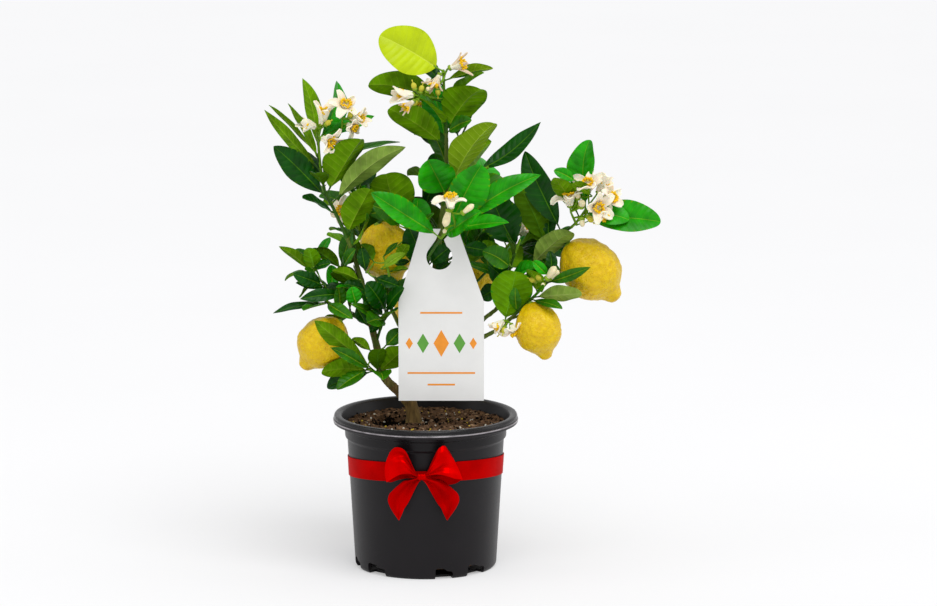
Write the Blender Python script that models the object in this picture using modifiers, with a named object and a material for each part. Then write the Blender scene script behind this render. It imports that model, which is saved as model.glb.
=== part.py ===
"""A ponderosa lemon tree in its nursery pot, with a ribbon and bow round the pot and a hang tag on a twig.

Design sizes are in millimetres: x runs to the right, y away from the viewer and z up. The pot stands on the
origin, with its axis on the z axis. Meshes are made in metres.
"""

import math
import random
from collections import namedtuple

import bmesh
import bpy
from mathutils import Matrix, Vector
from mathutils.bvhtree import BVHTree

MM = 0.001
GAP = 0.3  # between pieces that touch

# Pot: a blow-moulded nursery pot with a turned-out lip.
POT_HEIGHT = 171.0
POT_FOOT_R = 78.0
POT_SHOULDER_R = 86.5
POT_COLLAR_R = 89.5
POT_LIP_R = 102.4
POT_MOUTH_R = 92.5
POT_COLLAR = 26.0  # depth of the lip and collar together
POT_WALL = 1.8
POT_FLOOR = 2.5
POT_STEPS = 40
NOTCH_WIDTH = 17.0
NOTCH_HEIGHT = 8.0
NOTCH_DEPTH = 7.0
NOTCH_PAIR_DEG = (196.0, 222.0)  # two drain notches, repeated at each quarter turn
SOIL_TOP = 161.0
SOIL_CROWN = 1.5  # how far the soil rises towards its middle
SOIL_CROWN_R = 30.0
SOIL_ROOM = 1.3  # to the pot's wall
SOIL_BED = 11.0  # underside of the soil, above the floor and the notches
RIBBON_OFF = 0.5  # from the pot's wall

# Ribbon and bow. The band rises towards the bow and is drawn together behind the knot.
RIBBON_MIDDLE = 113.4
RIBBON_RISE = 9.0
RIBBON_SLOPE = 0.012  # of the band, up to the right
RIBBON_DIP = 4.0  # of the band where it is drawn together
RIBBON_WIDTH = 21.5
RIBBON_DRAWN_WIDTH = 7.0
RIBBON_DRAWN_DEG = (8.0, 28.0)  # from the knot: where it is narrowest, and where it is full again
RIBBON_THICK = 0.9
KNOT_X = -3.5
KNOT_UP = 119.0
KNOT_SIZE = (12.0, 9.0, 9.0)
LOOP_LENGTH = 37.0
LOOP_HEIGHT = 39.0
LOOP_DEPTH = 13.0
LOOP_FORWARD = 2.5  # of its outer end
LOOP_TILT_DEG = 27.0
TAIL_ROUTE = ((4, -2), (14, -9), (24, -22), (28, -36), (25, -49))  # outward and up from the knot
TAIL_WIDTH = 22.0
TAIL_STEPS = 3  # for each stretch of its route
TAIL_OFF = 3.2  # from the pot's wall

# Hang tag. Its outline is measured across from its middle and up from its foot.
TAG_MIDDLE_X = 17.5
TAG_PLANE_Y = -37.0
TAG_FOOT = 192.0
TAG_HEIGHT = 191.0
TAG_SHOULDER = 110.0
TAG_WIDTH = 93.5
TAG_TOP_WIDTH = 44.0
TAG_THICK = 0.9
TAG_HOLE = (-2.0, 160.0)
TAG_HOLE_R = 14.2
TAG_HOLE_ARC_DEG = (56.0, -224.0)  # from the slot's right side round to its left side
TAG_HOLE_STEPS = 20
TAG_LEFT_PRONG = (-0.5, -6.0)  # the slot's left side, across at the top and half way down
TAG_RIGHT_PRONG = (14.5, 3.0)

# Leaves, fruit and blossom.
STALK_SHARE = 0.12  # of a leaf's length
STALK_R = 0.8
BLADE_SECTIONS = (0.36, 0.74)
BROAD_SECTIONS = (0.3, 0.58, 0.84)
BROAD = 32.0  # the width from which a leaf has these
LEAF_THICK = 0.012  # of the leaf's length
LEAF_CUP_DEG = 14.0
GOLDEN_DEG = 137.5
FRUIT_RINGS = ((0.0, 0.2), (0.07, 0.5), (0.24, 0.87), (0.46, 1.0), (0.68, 0.86), (0.84, 0.45), (0.93, 0.25),
               (1.0, 0.12))
FRUIT_STEPS = 10
FRUIT_STALK_RADII = (1.3, 1.6)
TWIG_RADII = (1.2, 0.8)
TIP_R = 0.9  # of a stem, where it ends
BLOOM_R = 12.0
BLOOM_DEPTH = 7.0
BLOOM_STALK = 15.0
BLOOM_STALK_RADII = (0.8, 0.8)
CLEARANCE = 0.8  # kept round each leaf
HARVEST_ROOM = 12.0  # round each fruit, that the rule leaves open towards the front

# The rule that adds twigs and leaves draws each of these evenly from its range.
TWIG_OPEN_DEG = (40, 58)  # from the stem
TWIG_LENGTH = (0.7, 1.1)  # of the mass's leaf length
TWIG_RISE = 0.25
FILL_OPEN_DEG = (38, 66)
FILL_LENGTH = (0.72, 1.12)
FILL_RISE = (-0.15, 0.25)
FILL_LEAN_DEG = (10, 60)
FILL_TURN_DEG = (-50, 50)
FILL_WIDTH = (0.42, 0.58)  # of the leaf's length
FILL_BEND_DEG = (5, 35)
FILL_ROUNDS = 7  # tries for each leaf that a mass should get
FILL_TRIES = 14  # changes that a leaf may take to clear its neighbours

Leaf = namedtuple("Leaf", "at tip width lean turn bend", defaults=(60, 0, 15))
Leaf.__doc__ = """A leaf that shows: its place along the stem, its tip, its width, and how it is turned.

lean is the way its upper side faces: 0 to the sky, 90 to the viewer, -90 away.
turn swings that to the right. bend is how far the blade arches. The three are in degrees."""
Fruit = namedtuple("Fruit", "at crown nipple width")
Fruit.__doc__ = "A lemon: where its stalk leaves the stem, its two ends, and its width."
Spray = namedtuple(
    "Spray", "parent stem radius shoots leaves fruits blooms twigs fill leaf_length reach seed",
    defaults=((), (), (), (), 0, 4, 52, 95, 1))
Spray.__doc__ = """A mass of foliage that grows from the limb named parent.

shoots are further routes that start on the stem. blooms is a tuple of (shoot, count), where blossom
ends a shoot: 0 is the stem. twigs and fill are the numbers of twigs and leaves that the seeded rule adds,
leaf_length their size, reach the radius of the space round the stem's middle that they keep to, and seed
their draw."""

# Each limb has its route and its radius at the start and the end.
LIMBS = {
    "trunk": (((-13, 0, 161), (-14, 0, 170), (-17, 0, 184)), (8.2, 6.8)),
    "left_bough": (((-17, 0, 179), (-30, -6, 196), (-44, -10, 211), (-50, -11, 230), (-54, -10, 249),
                    (-60, -8, 274), (-65, -6, 298), (-71, -4, 323)), (5.6, 3.0)),
    "leader": (((-17, 0, 179), (-10, 4, 218), (-1, 6, 257), (6, 6, 296), (12, 4, 339), (17, 2, 381),
                (22, 0, 420), (23, 0, 466)), (5.8, 2.2)),
    "right_bough": (((-1, 6, 257), (16, 0, 248), (34, -6, 249), (62, -12, 258), (79, -16, 267)), (3.4, 2.2)),
    "upper_right_bough": (((34, -6, 249), (49, -5, 262), (64, -4, 277), (79, -3, 289), (91, 0, 307),
                           (104, 2, 324)), (2.6, 2.0)),
    "back_bough": (((-12, 3, 206), (-8, 24, 226), (2, 44, 250), (12, 60, 280)), (4.4, 2.8)),
    "back_left_bough": (((-5, 30, 234), (-26, 48, 254), (-42, 62, 284)), (3.0, 2.2)),
}
LIMB_PARENTS = {
    "left_bough": ("trunk",),
    "leader": ("trunk", "left_bough"),
    "right_bough": ("leader",),
    "upper_right_bough": ("right_bough",),
    "back_bough": ("leader", "trunk", "left_bough"),
    "back_left_bough": ("back_bough",),
}
TRUNK_FLARE = 1.4

SPRAYS = {
    "top_spray": Spray(
        "leader", ((23, 0, 466), (23, 0, 488), (21, -2, 520), (20, -4, 553)), 2.2,
        leaves=(
            Leaf(0.98, (-48, -16, 593), 46, 75, 0, 10),
            Leaf(0.57, (-62, -14, 539), 34, -70, 0, 50),
            Leaf(0.86, (74, -6, 558), 20, -40, 0, 20),
            Leaf(0.24, (60, -30, 539), 48, -85, 20, 20),
            Leaf(0.03, (-39, -30, 515), 36, -65, -10, 25),
            Leaf(0.10, (6, 22, 535), 35, 80, 0, 10),
        ),
        blooms=((0, 3),), fill=4, leaf_length=58, reach=80, seed=40),
    "upper_spray": Spray(
        "leader", ((19, 1, 400), (26, -10, 424), (40, -12, 436), (69, -6, 446)), 1.8,
        leaves=(
            Leaf(0.36, (74, -34, 501), 48, -70, 40, 20),
            Leaf(1.00, (124, 6, 495), 24, 35, 20, -45),
            Leaf(0.22, (3, -26, 457), 42, 85, 0, 15),
        ),
        fill=3, leaf_length=60, seed=3),
    "front_spray": Spray(
        "leader", ((9, 4, 324), (3, -12, 334), (1, -26, 343), (4, -36, 352), (13, -42, 367), (22, -46, 380),
                   (30, -48, 392)), 2.0,
        leaves=(
            Leaf(0.96, (61, -52, 457), 44, 75, 20, 10),
            Leaf(0.92, (126, -30, 446), 26, 45, 0, 30),
            Leaf(0.88, (91, -70, 396), 22, 40, 0, 20),
            Leaf(0.77, (-58, -62, 427), 29, 55, 0, 35),
            Leaf(0.24, (-18, -24, 383), 33, 70, 0, 20),
            Leaf(0.80, (57, -74, 412), 26, 60, 0, 20),
        ),
        blooms=((0, 3),), fill=0, seed=1),
    "upper_left_spray": Spray(
        "left_bough", ((-71, -4, 323), (-80, -6, 352), (-89, -8, 375), (-101, -10, 402), (-110, -12, 422),
                       (-115, -14, 455), (-117, -16, 486)), 2.7,
        shoots=(((-74, -4, 334), (-78, 6, 363), (-81, 12, 390), (-76, 14, 412)),),
        leaves=(
            Leaf(0.59, (-71, -30, 483), 48, -80, 20, 15),
            Leaf(0.52, (-21, -26, 473), 29, -60, 0, 40),
            Leaf(0.77, (-28, 2, 470), 20, 40, 0, 20),
            Leaf(0.56, (-163, -10, 472), 30, 55, -20, -15),
            Leaf(0.74, (-177, 14, 504), 18, -60, 0, 10),
            Leaf(0.84, (-170, 34, 509), 13, -50, 0, 10),
            Leaf(0.80, (-149, -34, 520), 16, -60, -40, 15),
            Leaf(0.87, (-132, -10, 541), 21, -75, -20, 10),
            Leaf(0.93, (-94, 30, 535), 33, 70, 0, 20),
            Leaf(0.96, (-55, 16, 502), 17, 50, 0, 20),
            Leaf(0.29, (-60, -30, 425), 37, -75, 20, 20),
        ),
        blooms=((0, 5),), fill=7, leaf_length=55, reach=110, seed=5),
    "inner_upper_spray": Spray(
        "leader", ((6, 6, 296), (3, 8, 328), (-8, 8, 358), (-24, 10, 380), (-42, 14, 394)), 1.8,
        leaves=(
            Leaf(0.80, (-43, -10, 440), 50, -80, 0, 15),
            Leaf(0.62, (-8, 20, 408), 33, 60, 0, 15),
        ),
        fruits=(Fruit(1.0, (-53, 26, 378), (-33, 32, 310), 62),),
        fill=5, leaf_length=48, reach=80, seed=6),
    "left_spray": Spray(
        "left_bough", ((-61, -8, 270), (-81, -12, 283), (-99, -14, 293), (-109, -14, 299)), 1.6,
        shoots=(((-88, -13, 287), (-100, -8, 303), (-110, -4, 314), (-125, -2, 330)),),
        leaves=(
            Leaf(0.94, (-167, -26, 289), 14, 25, 0, 20),
            Leaf(0.82, (-137, -34, 307), 17, -55, 0, 15),
            Leaf(0.98, (-160, -10, 360), 14, -50, 0, 10),
            Leaf(0.90, (-128, -14, 360), 19, -80, 0, 5),
        ),
        fruits=(Fruit(0.4, (-93, -22, 278), (-135, -26, 226), 54),),
        fill=9, leaf_length=42, reach=75, seed=32),
    "left_upper_spray": Spray(
        "left_bough", ((-65, -6, 300), (-76, -2, 311), (-86, 0, 322), (-93, 2, 333)), 1.4,
        leaves=(
            Leaf(0.92, (-123, -8, 358), 18, -50, 0, 40),
            Leaf(0.28, (-101, -26, 336), 24, -65, 0, 30),
        ),
        fill=7, leaf_length=40, reach=60, seed=39),
    "lower_left_spray": Spray(
        "left_bough", ((-46, -10, 214), (-56, -20, 221), (-64, -26, 226)), 1.6,
        leaves=(
            Leaf(0.48, (-119, -56, 289), 22, -60, 0, 20),
            Leaf(0.73, (-101, -44, 256), 15, 60, 0, 15),
            Leaf(0.77, (-114, -40, 227), 25, -70, 0, 15),
            Leaf(0.67, (-108, -14, 202), 25, 50, 0, 15),
            Leaf(0.40, (-20, -52, 252), 28, -70, 0, 15),
        ),
        fill=3, leaf_length=45, reach=60, seed=49),
    "inner_spray": Spray(
        "left_bough", ((-54, -10, 252), (-49, -16, 269), (-43, -20, 285), (-39, -22, 306), (-39, -22, 326),
                       (-43, -20, 343)), 1.6,
        leaves=(
            Leaf(0.19, (-79, -44, 303), 15, 40, 0, 40),
            Leaf(0.41, (-64, -50, 326), 26, 60, 0, 20),
            Leaf(0.32, (-63, -36, 282), 24, 60, 0, 20),
        ),
        fill=12, leaf_length=42, reach=70, seed=28),
    "upper_right_spray": Spray(
        "upper_right_bough", ((104, 2, 324), (118, 2, 339), (131, 0, 356), (148, -2, 370), (164, -4, 383),
                              (176, -8, 400)), 1.9,
        leaves=(
            Leaf(0.99, (175, 6, 476), 38, 75, -20, 10),
            Leaf(1.00, (258, -16, 389), 37, 60, 0, 20),
            Leaf(0.88, (140, -30, 442), 23, -60, 0, 50),
            Leaf(0.63, (107, 0, 462), 32, 70, -20, 15),
            Leaf(0.42, (100, -14, 429), 32, -80, 10, 10),
            Leaf(0.13, (160, -20, 380), 32, -65, 0, 20),
        ),
        fruits=(Fruit(0.5, (156, -2, 360), (211, -6, 299), 64),),
        blooms=((0, 6),), fill=3, leaf_length=50, reach=90, seed=19),
    "middle_right_spray": Spray(
        "upper_right_bough", ((88, -1, 302), (92, -4, 329), (97, -4, 347), (104, -2, 365)), 1.5,
        leaves=(
            Leaf(0.83, (73, 10, 412), 44, 75, 0, 10),
            Leaf(0.25, (71, -26, 341), 29, 60, 0, 30),
            Leaf(0.28, (41, -34, 344), 15, 40, 0, 20),
        ),
        fill=5, leaf_length=48, reach=75, seed=29),
    "lower_right_spray": Spray(
        "right_bough", ((79, -16, 267), (93, -20, 280), (106, -24, 293), (119, -26, 306), (132, -26, 320),
                        (141, -26, 330)), 2.1,
        leaves=(
            Leaf(0.12, (99, -40, 340), 46, -80, 0, 10),
            Leaf(0.62, (171, -44, 314), 24, -60, 0, 15),
            Leaf(0.86, (179, -42, 346), 13, 50, 0, 20),
        ),
        fruits=(Fruit(0.5, (115, -31, 300), (133, -36, 238), 51),),
        blooms=((0, 2),), fill=6, leaf_length=36, reach=70, seed=16),
    "back_spray": Spray(
        "back_bough", ((12, 60, 280), (22, 70, 320), (26, 72, 362), (30, 66, 404)), 2.5,
        fruits=(Fruit(0.4, (50, 92, 336), (56, 104, 272), 56),),
        twigs=5, fill=22, leaf_length=62, reach=115, seed=11),
    "back_left_spray": Spray(
        "back_left_bough", ((-42, 62, 284), (-60, 68, 318), (-72, 68, 356), (-80, 60, 396)), 2.0,
        fruits=(Fruit(0.1, (-18, 90, 296), (0, 98, 240), 52),),
        blooms=((0, 3),), twigs=4, fill=18, leaf_length=58, reach=100, seed=27),
    "back_right_spray": Spray(
        "back_bough", ((6, 51, 265), (36, 62, 288), (68, 66, 318), (98, 62, 356)), 2.1,
        blooms=((0, 3),), twigs=4, fill=18, leaf_length=58, reach=100, seed=40),
    "back_top_spray": Spray(
        "leader", ((22, 0, 430), (24, 20, 448), (20, 36, 474), (10, 44, 506)), 1.6,
        blooms=((0, 3),), twigs=3, fill=13, leaf_length=58, reach=85, seed=35),
}

COLOURS = {
    "pot": ((0.035, 0.035, 0.04), 0.45),
    "soil": ((0.07, 0.045, 0.03), 0.95),
    "ribbon": ((0.62, 0.01, 0.015), 0.4),
    "tag": ((0.86, 0.87, 0.87), 0.5),
    "bark": ((0.24, 0.2, 0.1), 0.8),
    "foliage": ((0.12, 0.3, 0.03), 0.5),
}


def clear_scene():
    for obj in list(bpy.data.objects):
        bpy.data.objects.remove(obj)


def new_collection(name):
    collection = bpy.data.collections.new(name)
    bpy.context.scene.collection.children.link(collection)
    return collection


def material(name):
    """The shared material of that name, made the first time."""
    found = bpy.data.materials.get(name)
    if found:
        return found
    colour, roughness = COLOURS[name]
    made = bpy.data.materials.new(name)
    made.use_nodes = True
    shader = made.node_tree.nodes["Principled BSDF"]
    shader.inputs["Base Color"].default_value = (*colour, 1.0)
    shader.inputs["Roughness"].default_value = roughness
    shader.inputs["Metallic"].default_value = 0.0
    return made


def link(name, data, collection, look=None):
    obj = bpy.data.objects.new(name, data)
    collection.objects.link(obj)
    if look:
        data.materials.append(material(look))
    return obj


def mesh_from(bm, name):
    mesh = bpy.data.meshes.new(name)
    bm.to_mesh(mesh)
    bm.free()
    return mesh


def as_mesh(obj):
    """Replaces a curve, or an object with modifiers, by the plain welded mesh that it evaluates to."""
    bpy.context.view_layer.update()
    evaluated = obj.evaluated_get(bpy.context.evaluated_depsgraph_get())
    mesh = bpy.data.meshes.new_from_object(evaluated)
    bm = bmesh.new()
    bm.from_mesh(mesh)
    bmesh.ops.remove_doubles(bm, verts=bm.verts, dist=1e-6)
    keep_largest(bm)
    bmesh.ops.recalc_face_normals(bm, faces=bm.faces)
    bm.to_mesh(mesh)
    bm.free()
    name, collection, world = obj.name, obj.users_collection[0], obj.matrix_world.copy()
    bpy.data.objects.remove(obj)
    made = bpy.data.objects.new(name, mesh)
    collection.objects.link(made)
    made.matrix_world = world
    return made


def keep_largest(bm):
    """Deletes every closed body but the largest: loose scraps, and the inner walls of sealed hollows."""
    left, bodies = set(bm.faces), []
    while left:
        body, edge = set(), [left.pop()]
        while edge:
            face = edge.pop()
            body.add(face)
            near = {other for rim in face.edges for other in rim.link_faces} & left
            left -= near
            edge.extend(near)
        bodies.append(body)
    bodies.sort(key=lambda faces: sum(face.calc_area() for face in faces))
    scraps = [face for body in bodies[:-1] for face in body]
    bmesh.ops.delete(bm, geom=scraps, context="FACES")
    bmesh.ops.delete(bm, geom=[v for v in bm.verts if not v.link_faces], context="VERTS")


def boolean(obj, operation, other, solver="EXACT"):
    """Applies a Boolean with an object or a whole collection, and removes what it used."""
    modifier = obj.modifiers.new("join", "BOOLEAN")
    modifier.operation = operation
    modifier.solver = solver
    whole = isinstance(other, bpy.types.Collection)
    if whole:
        modifier.operand_type = "COLLECTION"
        modifier.collection = other
    else:
        modifier.object = other
    looks = [m for m in obj.data.materials if m]
    made = as_mesh(obj)
    for used in list(other.objects) if whole else [other]:
        bpy.data.objects.remove(used)
    made.data.materials.clear()
    for look in looks[:1]:
        made.data.materials.append(look)
    return made


def turned(name, profile, collection, look, steps=POT_STEPS):
    """A closed turned solid round z from (radius, height) points, which run down the outer side first."""
    bm = bmesh.new()
    points = [bm.verts.new((r * MM, 0, z * MM)) for r, z in profile]
    for a, b in zip(points, points[1:]):
        bm.edges.new((a, b))
    if profile[0][0] > 0:
        bm.edges.new((points[-1], points[0]))
    obj = link(name, mesh_from(bm, name), collection, look)
    screw = obj.modifiers.new("turn", "SCREW")
    screw.steps = screw.render_steps = steps
    screw.use_merge_vertices = True
    screw.merge_threshold = 0.00001
    screw.use_smooth_shade = True
    return obj


def spread(route, count):
    """Vectors of a smooth curve through the route's points, count for each stretch between two of them."""
    points = [Vector(p) for p in route]
    ends = [2 * points[0] - points[1], *points, 2 * points[-1] - points[-2]]
    curve = []
    for a, b, c, d in zip(ends, ends[1:], ends[2:], ends[3:]):
        for i in range(count):
            t = i / count
            curve.append(0.5 * (2 * b + (c - a) * t + (2 * a - 5 * b + 4 * c - d) * t * t
                                + (3 * b - a - 3 * c + d) * t * t * t))
    return [*curve, points[-1]]


def point_at(route, share):
    """(point, direction) at that share of the route's length."""
    lengths = [(b - a).length for a, b in zip(route, route[1:])]
    left = share * sum(lengths)
    for (a, b), length in zip(zip(route, route[1:]), lengths):
        if left <= length:
            break
        left -= length
    return a.lerp(b, min(1.0, left / length)), (b - a).normalized()


def tube(name, route, radii, collection, look=None, sides=0, grow=0.0, flare=1.0):
    """A tapering round bar along the route. grow makes it that much larger all over, as a cutter."""
    curve = bpy.data.curves.new(name, "CURVE")
    curve.dimensions = "3D"
    curve.bevel_depth = 1.0 * MM
    curve.bevel_resolution = sides
    curve.use_fill_caps = True
    spline = curve.splines.new("POLY")
    points = list(route)
    if grow:
        points[0] = points[0] - grow * (points[1] - points[0]).normalized()
        points[-1] = points[-1] + grow * (points[-1] - points[-2]).normalized()
    spline.points.add(len(points) - 1)
    for i, (spot, place) in enumerate(zip(spline.points, points)):
        share = i / (len(points) - 1)
        spot.co = (*(place * MM), 1.0)
        spot.radius = radii[0] + (radii[1] - radii[0]) * share + grow
        if i == 0:
            spot.radius *= flare
    made = as_mesh(link(name, curve, collection))
    if look:
        made.data.materials.append(material(look))
        made.data.shade_smooth()
    return made


def leaf_axes(direction, lean, turn):
    """(side, face): across the blade, and the way its upper side faces, for a leaf that grows that way."""
    lean, turn = math.radians(lean), math.radians(turn)
    wish = Matrix.Rotation(turn, 3, "Z") @ Vector((0, -math.sin(lean), math.cos(lean)))
    side = wish.cross(direction)
    if side.length < 1e-3:
        side = direction.orthogonal()
    side.normalize()
    return side, direction.cross(side).normalized()


def leaf_line(root, tip, bend, face, steps):
    """Points from root to tip along an arch of that many degrees, highest on the upper side."""
    chord = tip - root
    bend = math.radians(bend)
    if abs(bend) < 1e-3:
        return [root + chord * s for s in steps]
    along = chord.normalized()
    radius = chord.length / 2 / math.sin(bend / 2)
    made = []
    for s in steps:
        angle = bend * (s - 0.5)
        out = chord * 0.5 + along * radius * math.sin(angle)
        made.append(root + out + face * radius * (math.cos(angle) - math.cos(bend / 2)))
    return made


AROUND = ((0, 1), (1, 2), (2, 3), (3, 0))  # the four points of a section, in pairs


def leaf_solid(root, tip, width, side, face, bend, extra=0.0):
    """(points, faces) of a closed leaf: a stalk, then a cupped blade, sharp at its edges."""
    sections = BROAD_SECTIONS if width > BROAD else BLADE_SECTIONS
    steps = (0.0, STALK_SHARE, *(STALK_SHARE + (1 - STALK_SHARE) * s for s in sections), 1.0)
    line = leaf_line(root, tip, bend, face, steps)
    length = (tip - root).length
    thick = max(length * LEAF_THICK, 0.7) / 2 + extra
    cup = math.radians(LEAF_CUP_DEG)
    points, faces = [], []
    for number, middle in enumerate(line[:-1]):
        if number < 2:
            half, lift, tall = STALK_R + extra, 0.0, STALK_R + extra
        else:
            share = sections[number - 2]
            half = width / 2 * (4 * share * (1 - share)) ** 0.55 + extra
            lift, tall = half * math.sin(cup), thick
        across = side * half * (math.cos(cup) if lift else 1.0)
        points += [middle - across + face * lift, middle + face * tall,
                   middle + across + face * lift, middle - face * tall]
    last = len(points)
    points.append(line[-1])
    faces.append((3, 2, 1, 0))
    for start in range(0, last - 4, 4):
        faces += [(start + a, start + b, start + b + 4, start + a + 4) for a, b in AROUND]
    faces += [(last - 4 + a, last - 4 + b, last) for a, b in AROUND]
    return points, faces


def fruit_points(fruit):
    """(points, faces) of a lemon: rings round the line from its crown to its nipple."""
    crown, nipple = Vector(fruit.crown), Vector(fruit.nipple)
    along = nipple - crown
    across = along.orthogonal().normalized()
    points = []
    for share, wide in FRUIT_RINGS:
        for step in range(FRUIT_STEPS):
            turn = Matrix.Rotation(math.tau * step / FRUIT_STEPS, 3, along)
            points.append(crown + along * share + turn @ across * wide * fruit.width / 2)
    faces = [tuple(reversed(range(FRUIT_STEPS)))]
    for ring in range(len(FRUIT_RINGS) - 1):
        low = ring * FRUIT_STEPS
        for step in range(FRUIT_STEPS):
            after = (step + 1) % FRUIT_STEPS
            faces.append((low + step, low + after, low + FRUIT_STEPS + after, low + FRUIT_STEPS + step))
    top = (len(FRUIT_RINGS) - 1) * FRUIT_STEPS
    faces.append(tuple(range(top, top + FRUIT_STEPS)))
    return points, faces


def tube_points(route, radii, sides=4, grow=0.0):
    """(points, faces) of a plain tapering bar, for the test of what touches what."""
    points, faces = [], []
    for i, place in enumerate(route):
        along = route[min(i + 1, len(route) - 1)] - route[max(i - 1, 0)]
        across = along.orthogonal().normalized()
        radius = radii[0] + (radii[1] - radii[0]) * i / (len(route) - 1) + grow
        for step in range(sides):
            points.append(place + Matrix.Rotation(math.tau * step / sides, 3, along) @ across * radius)
    for start in range(0, len(points) - sides, sides):
        for step in range(sides):
            after = (step + 1) % sides
            faces.append((start + step, start + after, start + sides + after, start + sides + step))
    return points, faces


class Crowd:
    """What has been placed so far, to test new leaves against.

    Each thing is its middle, its reach, a tree of its faces, its mass and whether it is a blade. The heart of
    each fruit is kept too, because a small leaf could lie in there without meeting a face."""

    def __init__(self):
        self.things = []
        self.hearts = []

    def add(self, shape, mass="", blade=False):
        points, faces = shape
        centre = sum(points, Vector()) / len(points)
        reach = max((p - centre).length for p in points)
        self.things.append((centre, reach, BVHTree.FromPolygons(points, faces), mass, blade))

    def is_free(self, shape, own=None, blades_too=False):
        """Whether the shape meets nothing but the stems, and maybe the blades too, of the mass named own."""
        points, faces = shape
        centre = sum(points, Vector()) / len(points)
        reach = max((p - centre).length for p in points)
        tree = None
        for other, size, there, mass, blade in self.things:
            if mass == own and (blades_too or not blade):
                continue
            if (other - centre).length > reach + size:
                continue
            tree = tree or BVHTree.FromPolygons(points, faces)
            if tree.overlap(there):
                return False
        return not any((point - heart).length < size for heart, size in self.hearts for point in points)


def blade_only(shape):
    """The leaf's solid without its stalk."""
    points, faces = shape
    return points[4:], [tuple(i - 4 for i in f) for f in faces if min(f) >= 4]


def stalk_only(shape):
    """The leaf's stalk, whose root lies in the twig."""
    points, faces = shape
    return points[:8], [f for f in faces if max(f) < 8]


def settle_steps():
    """(lean, turn, depth) changes that a leaf may take to clear its neighbours, the smallest first."""
    steps = [(lean, turn, depth)
             for lean in (0, 15, -15, 30, -30, 50, -50)
             for turn in (0, 20, -20, 40, -40)
             for depth in (0, -8, 8, -16, 16, -26, 26)]
    return sorted(steps, key=lambda step: abs(step[0]) / 15 + abs(step[1]) / 20 + abs(step[2]) / 10)


SETTLE = settle_steps()


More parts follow.
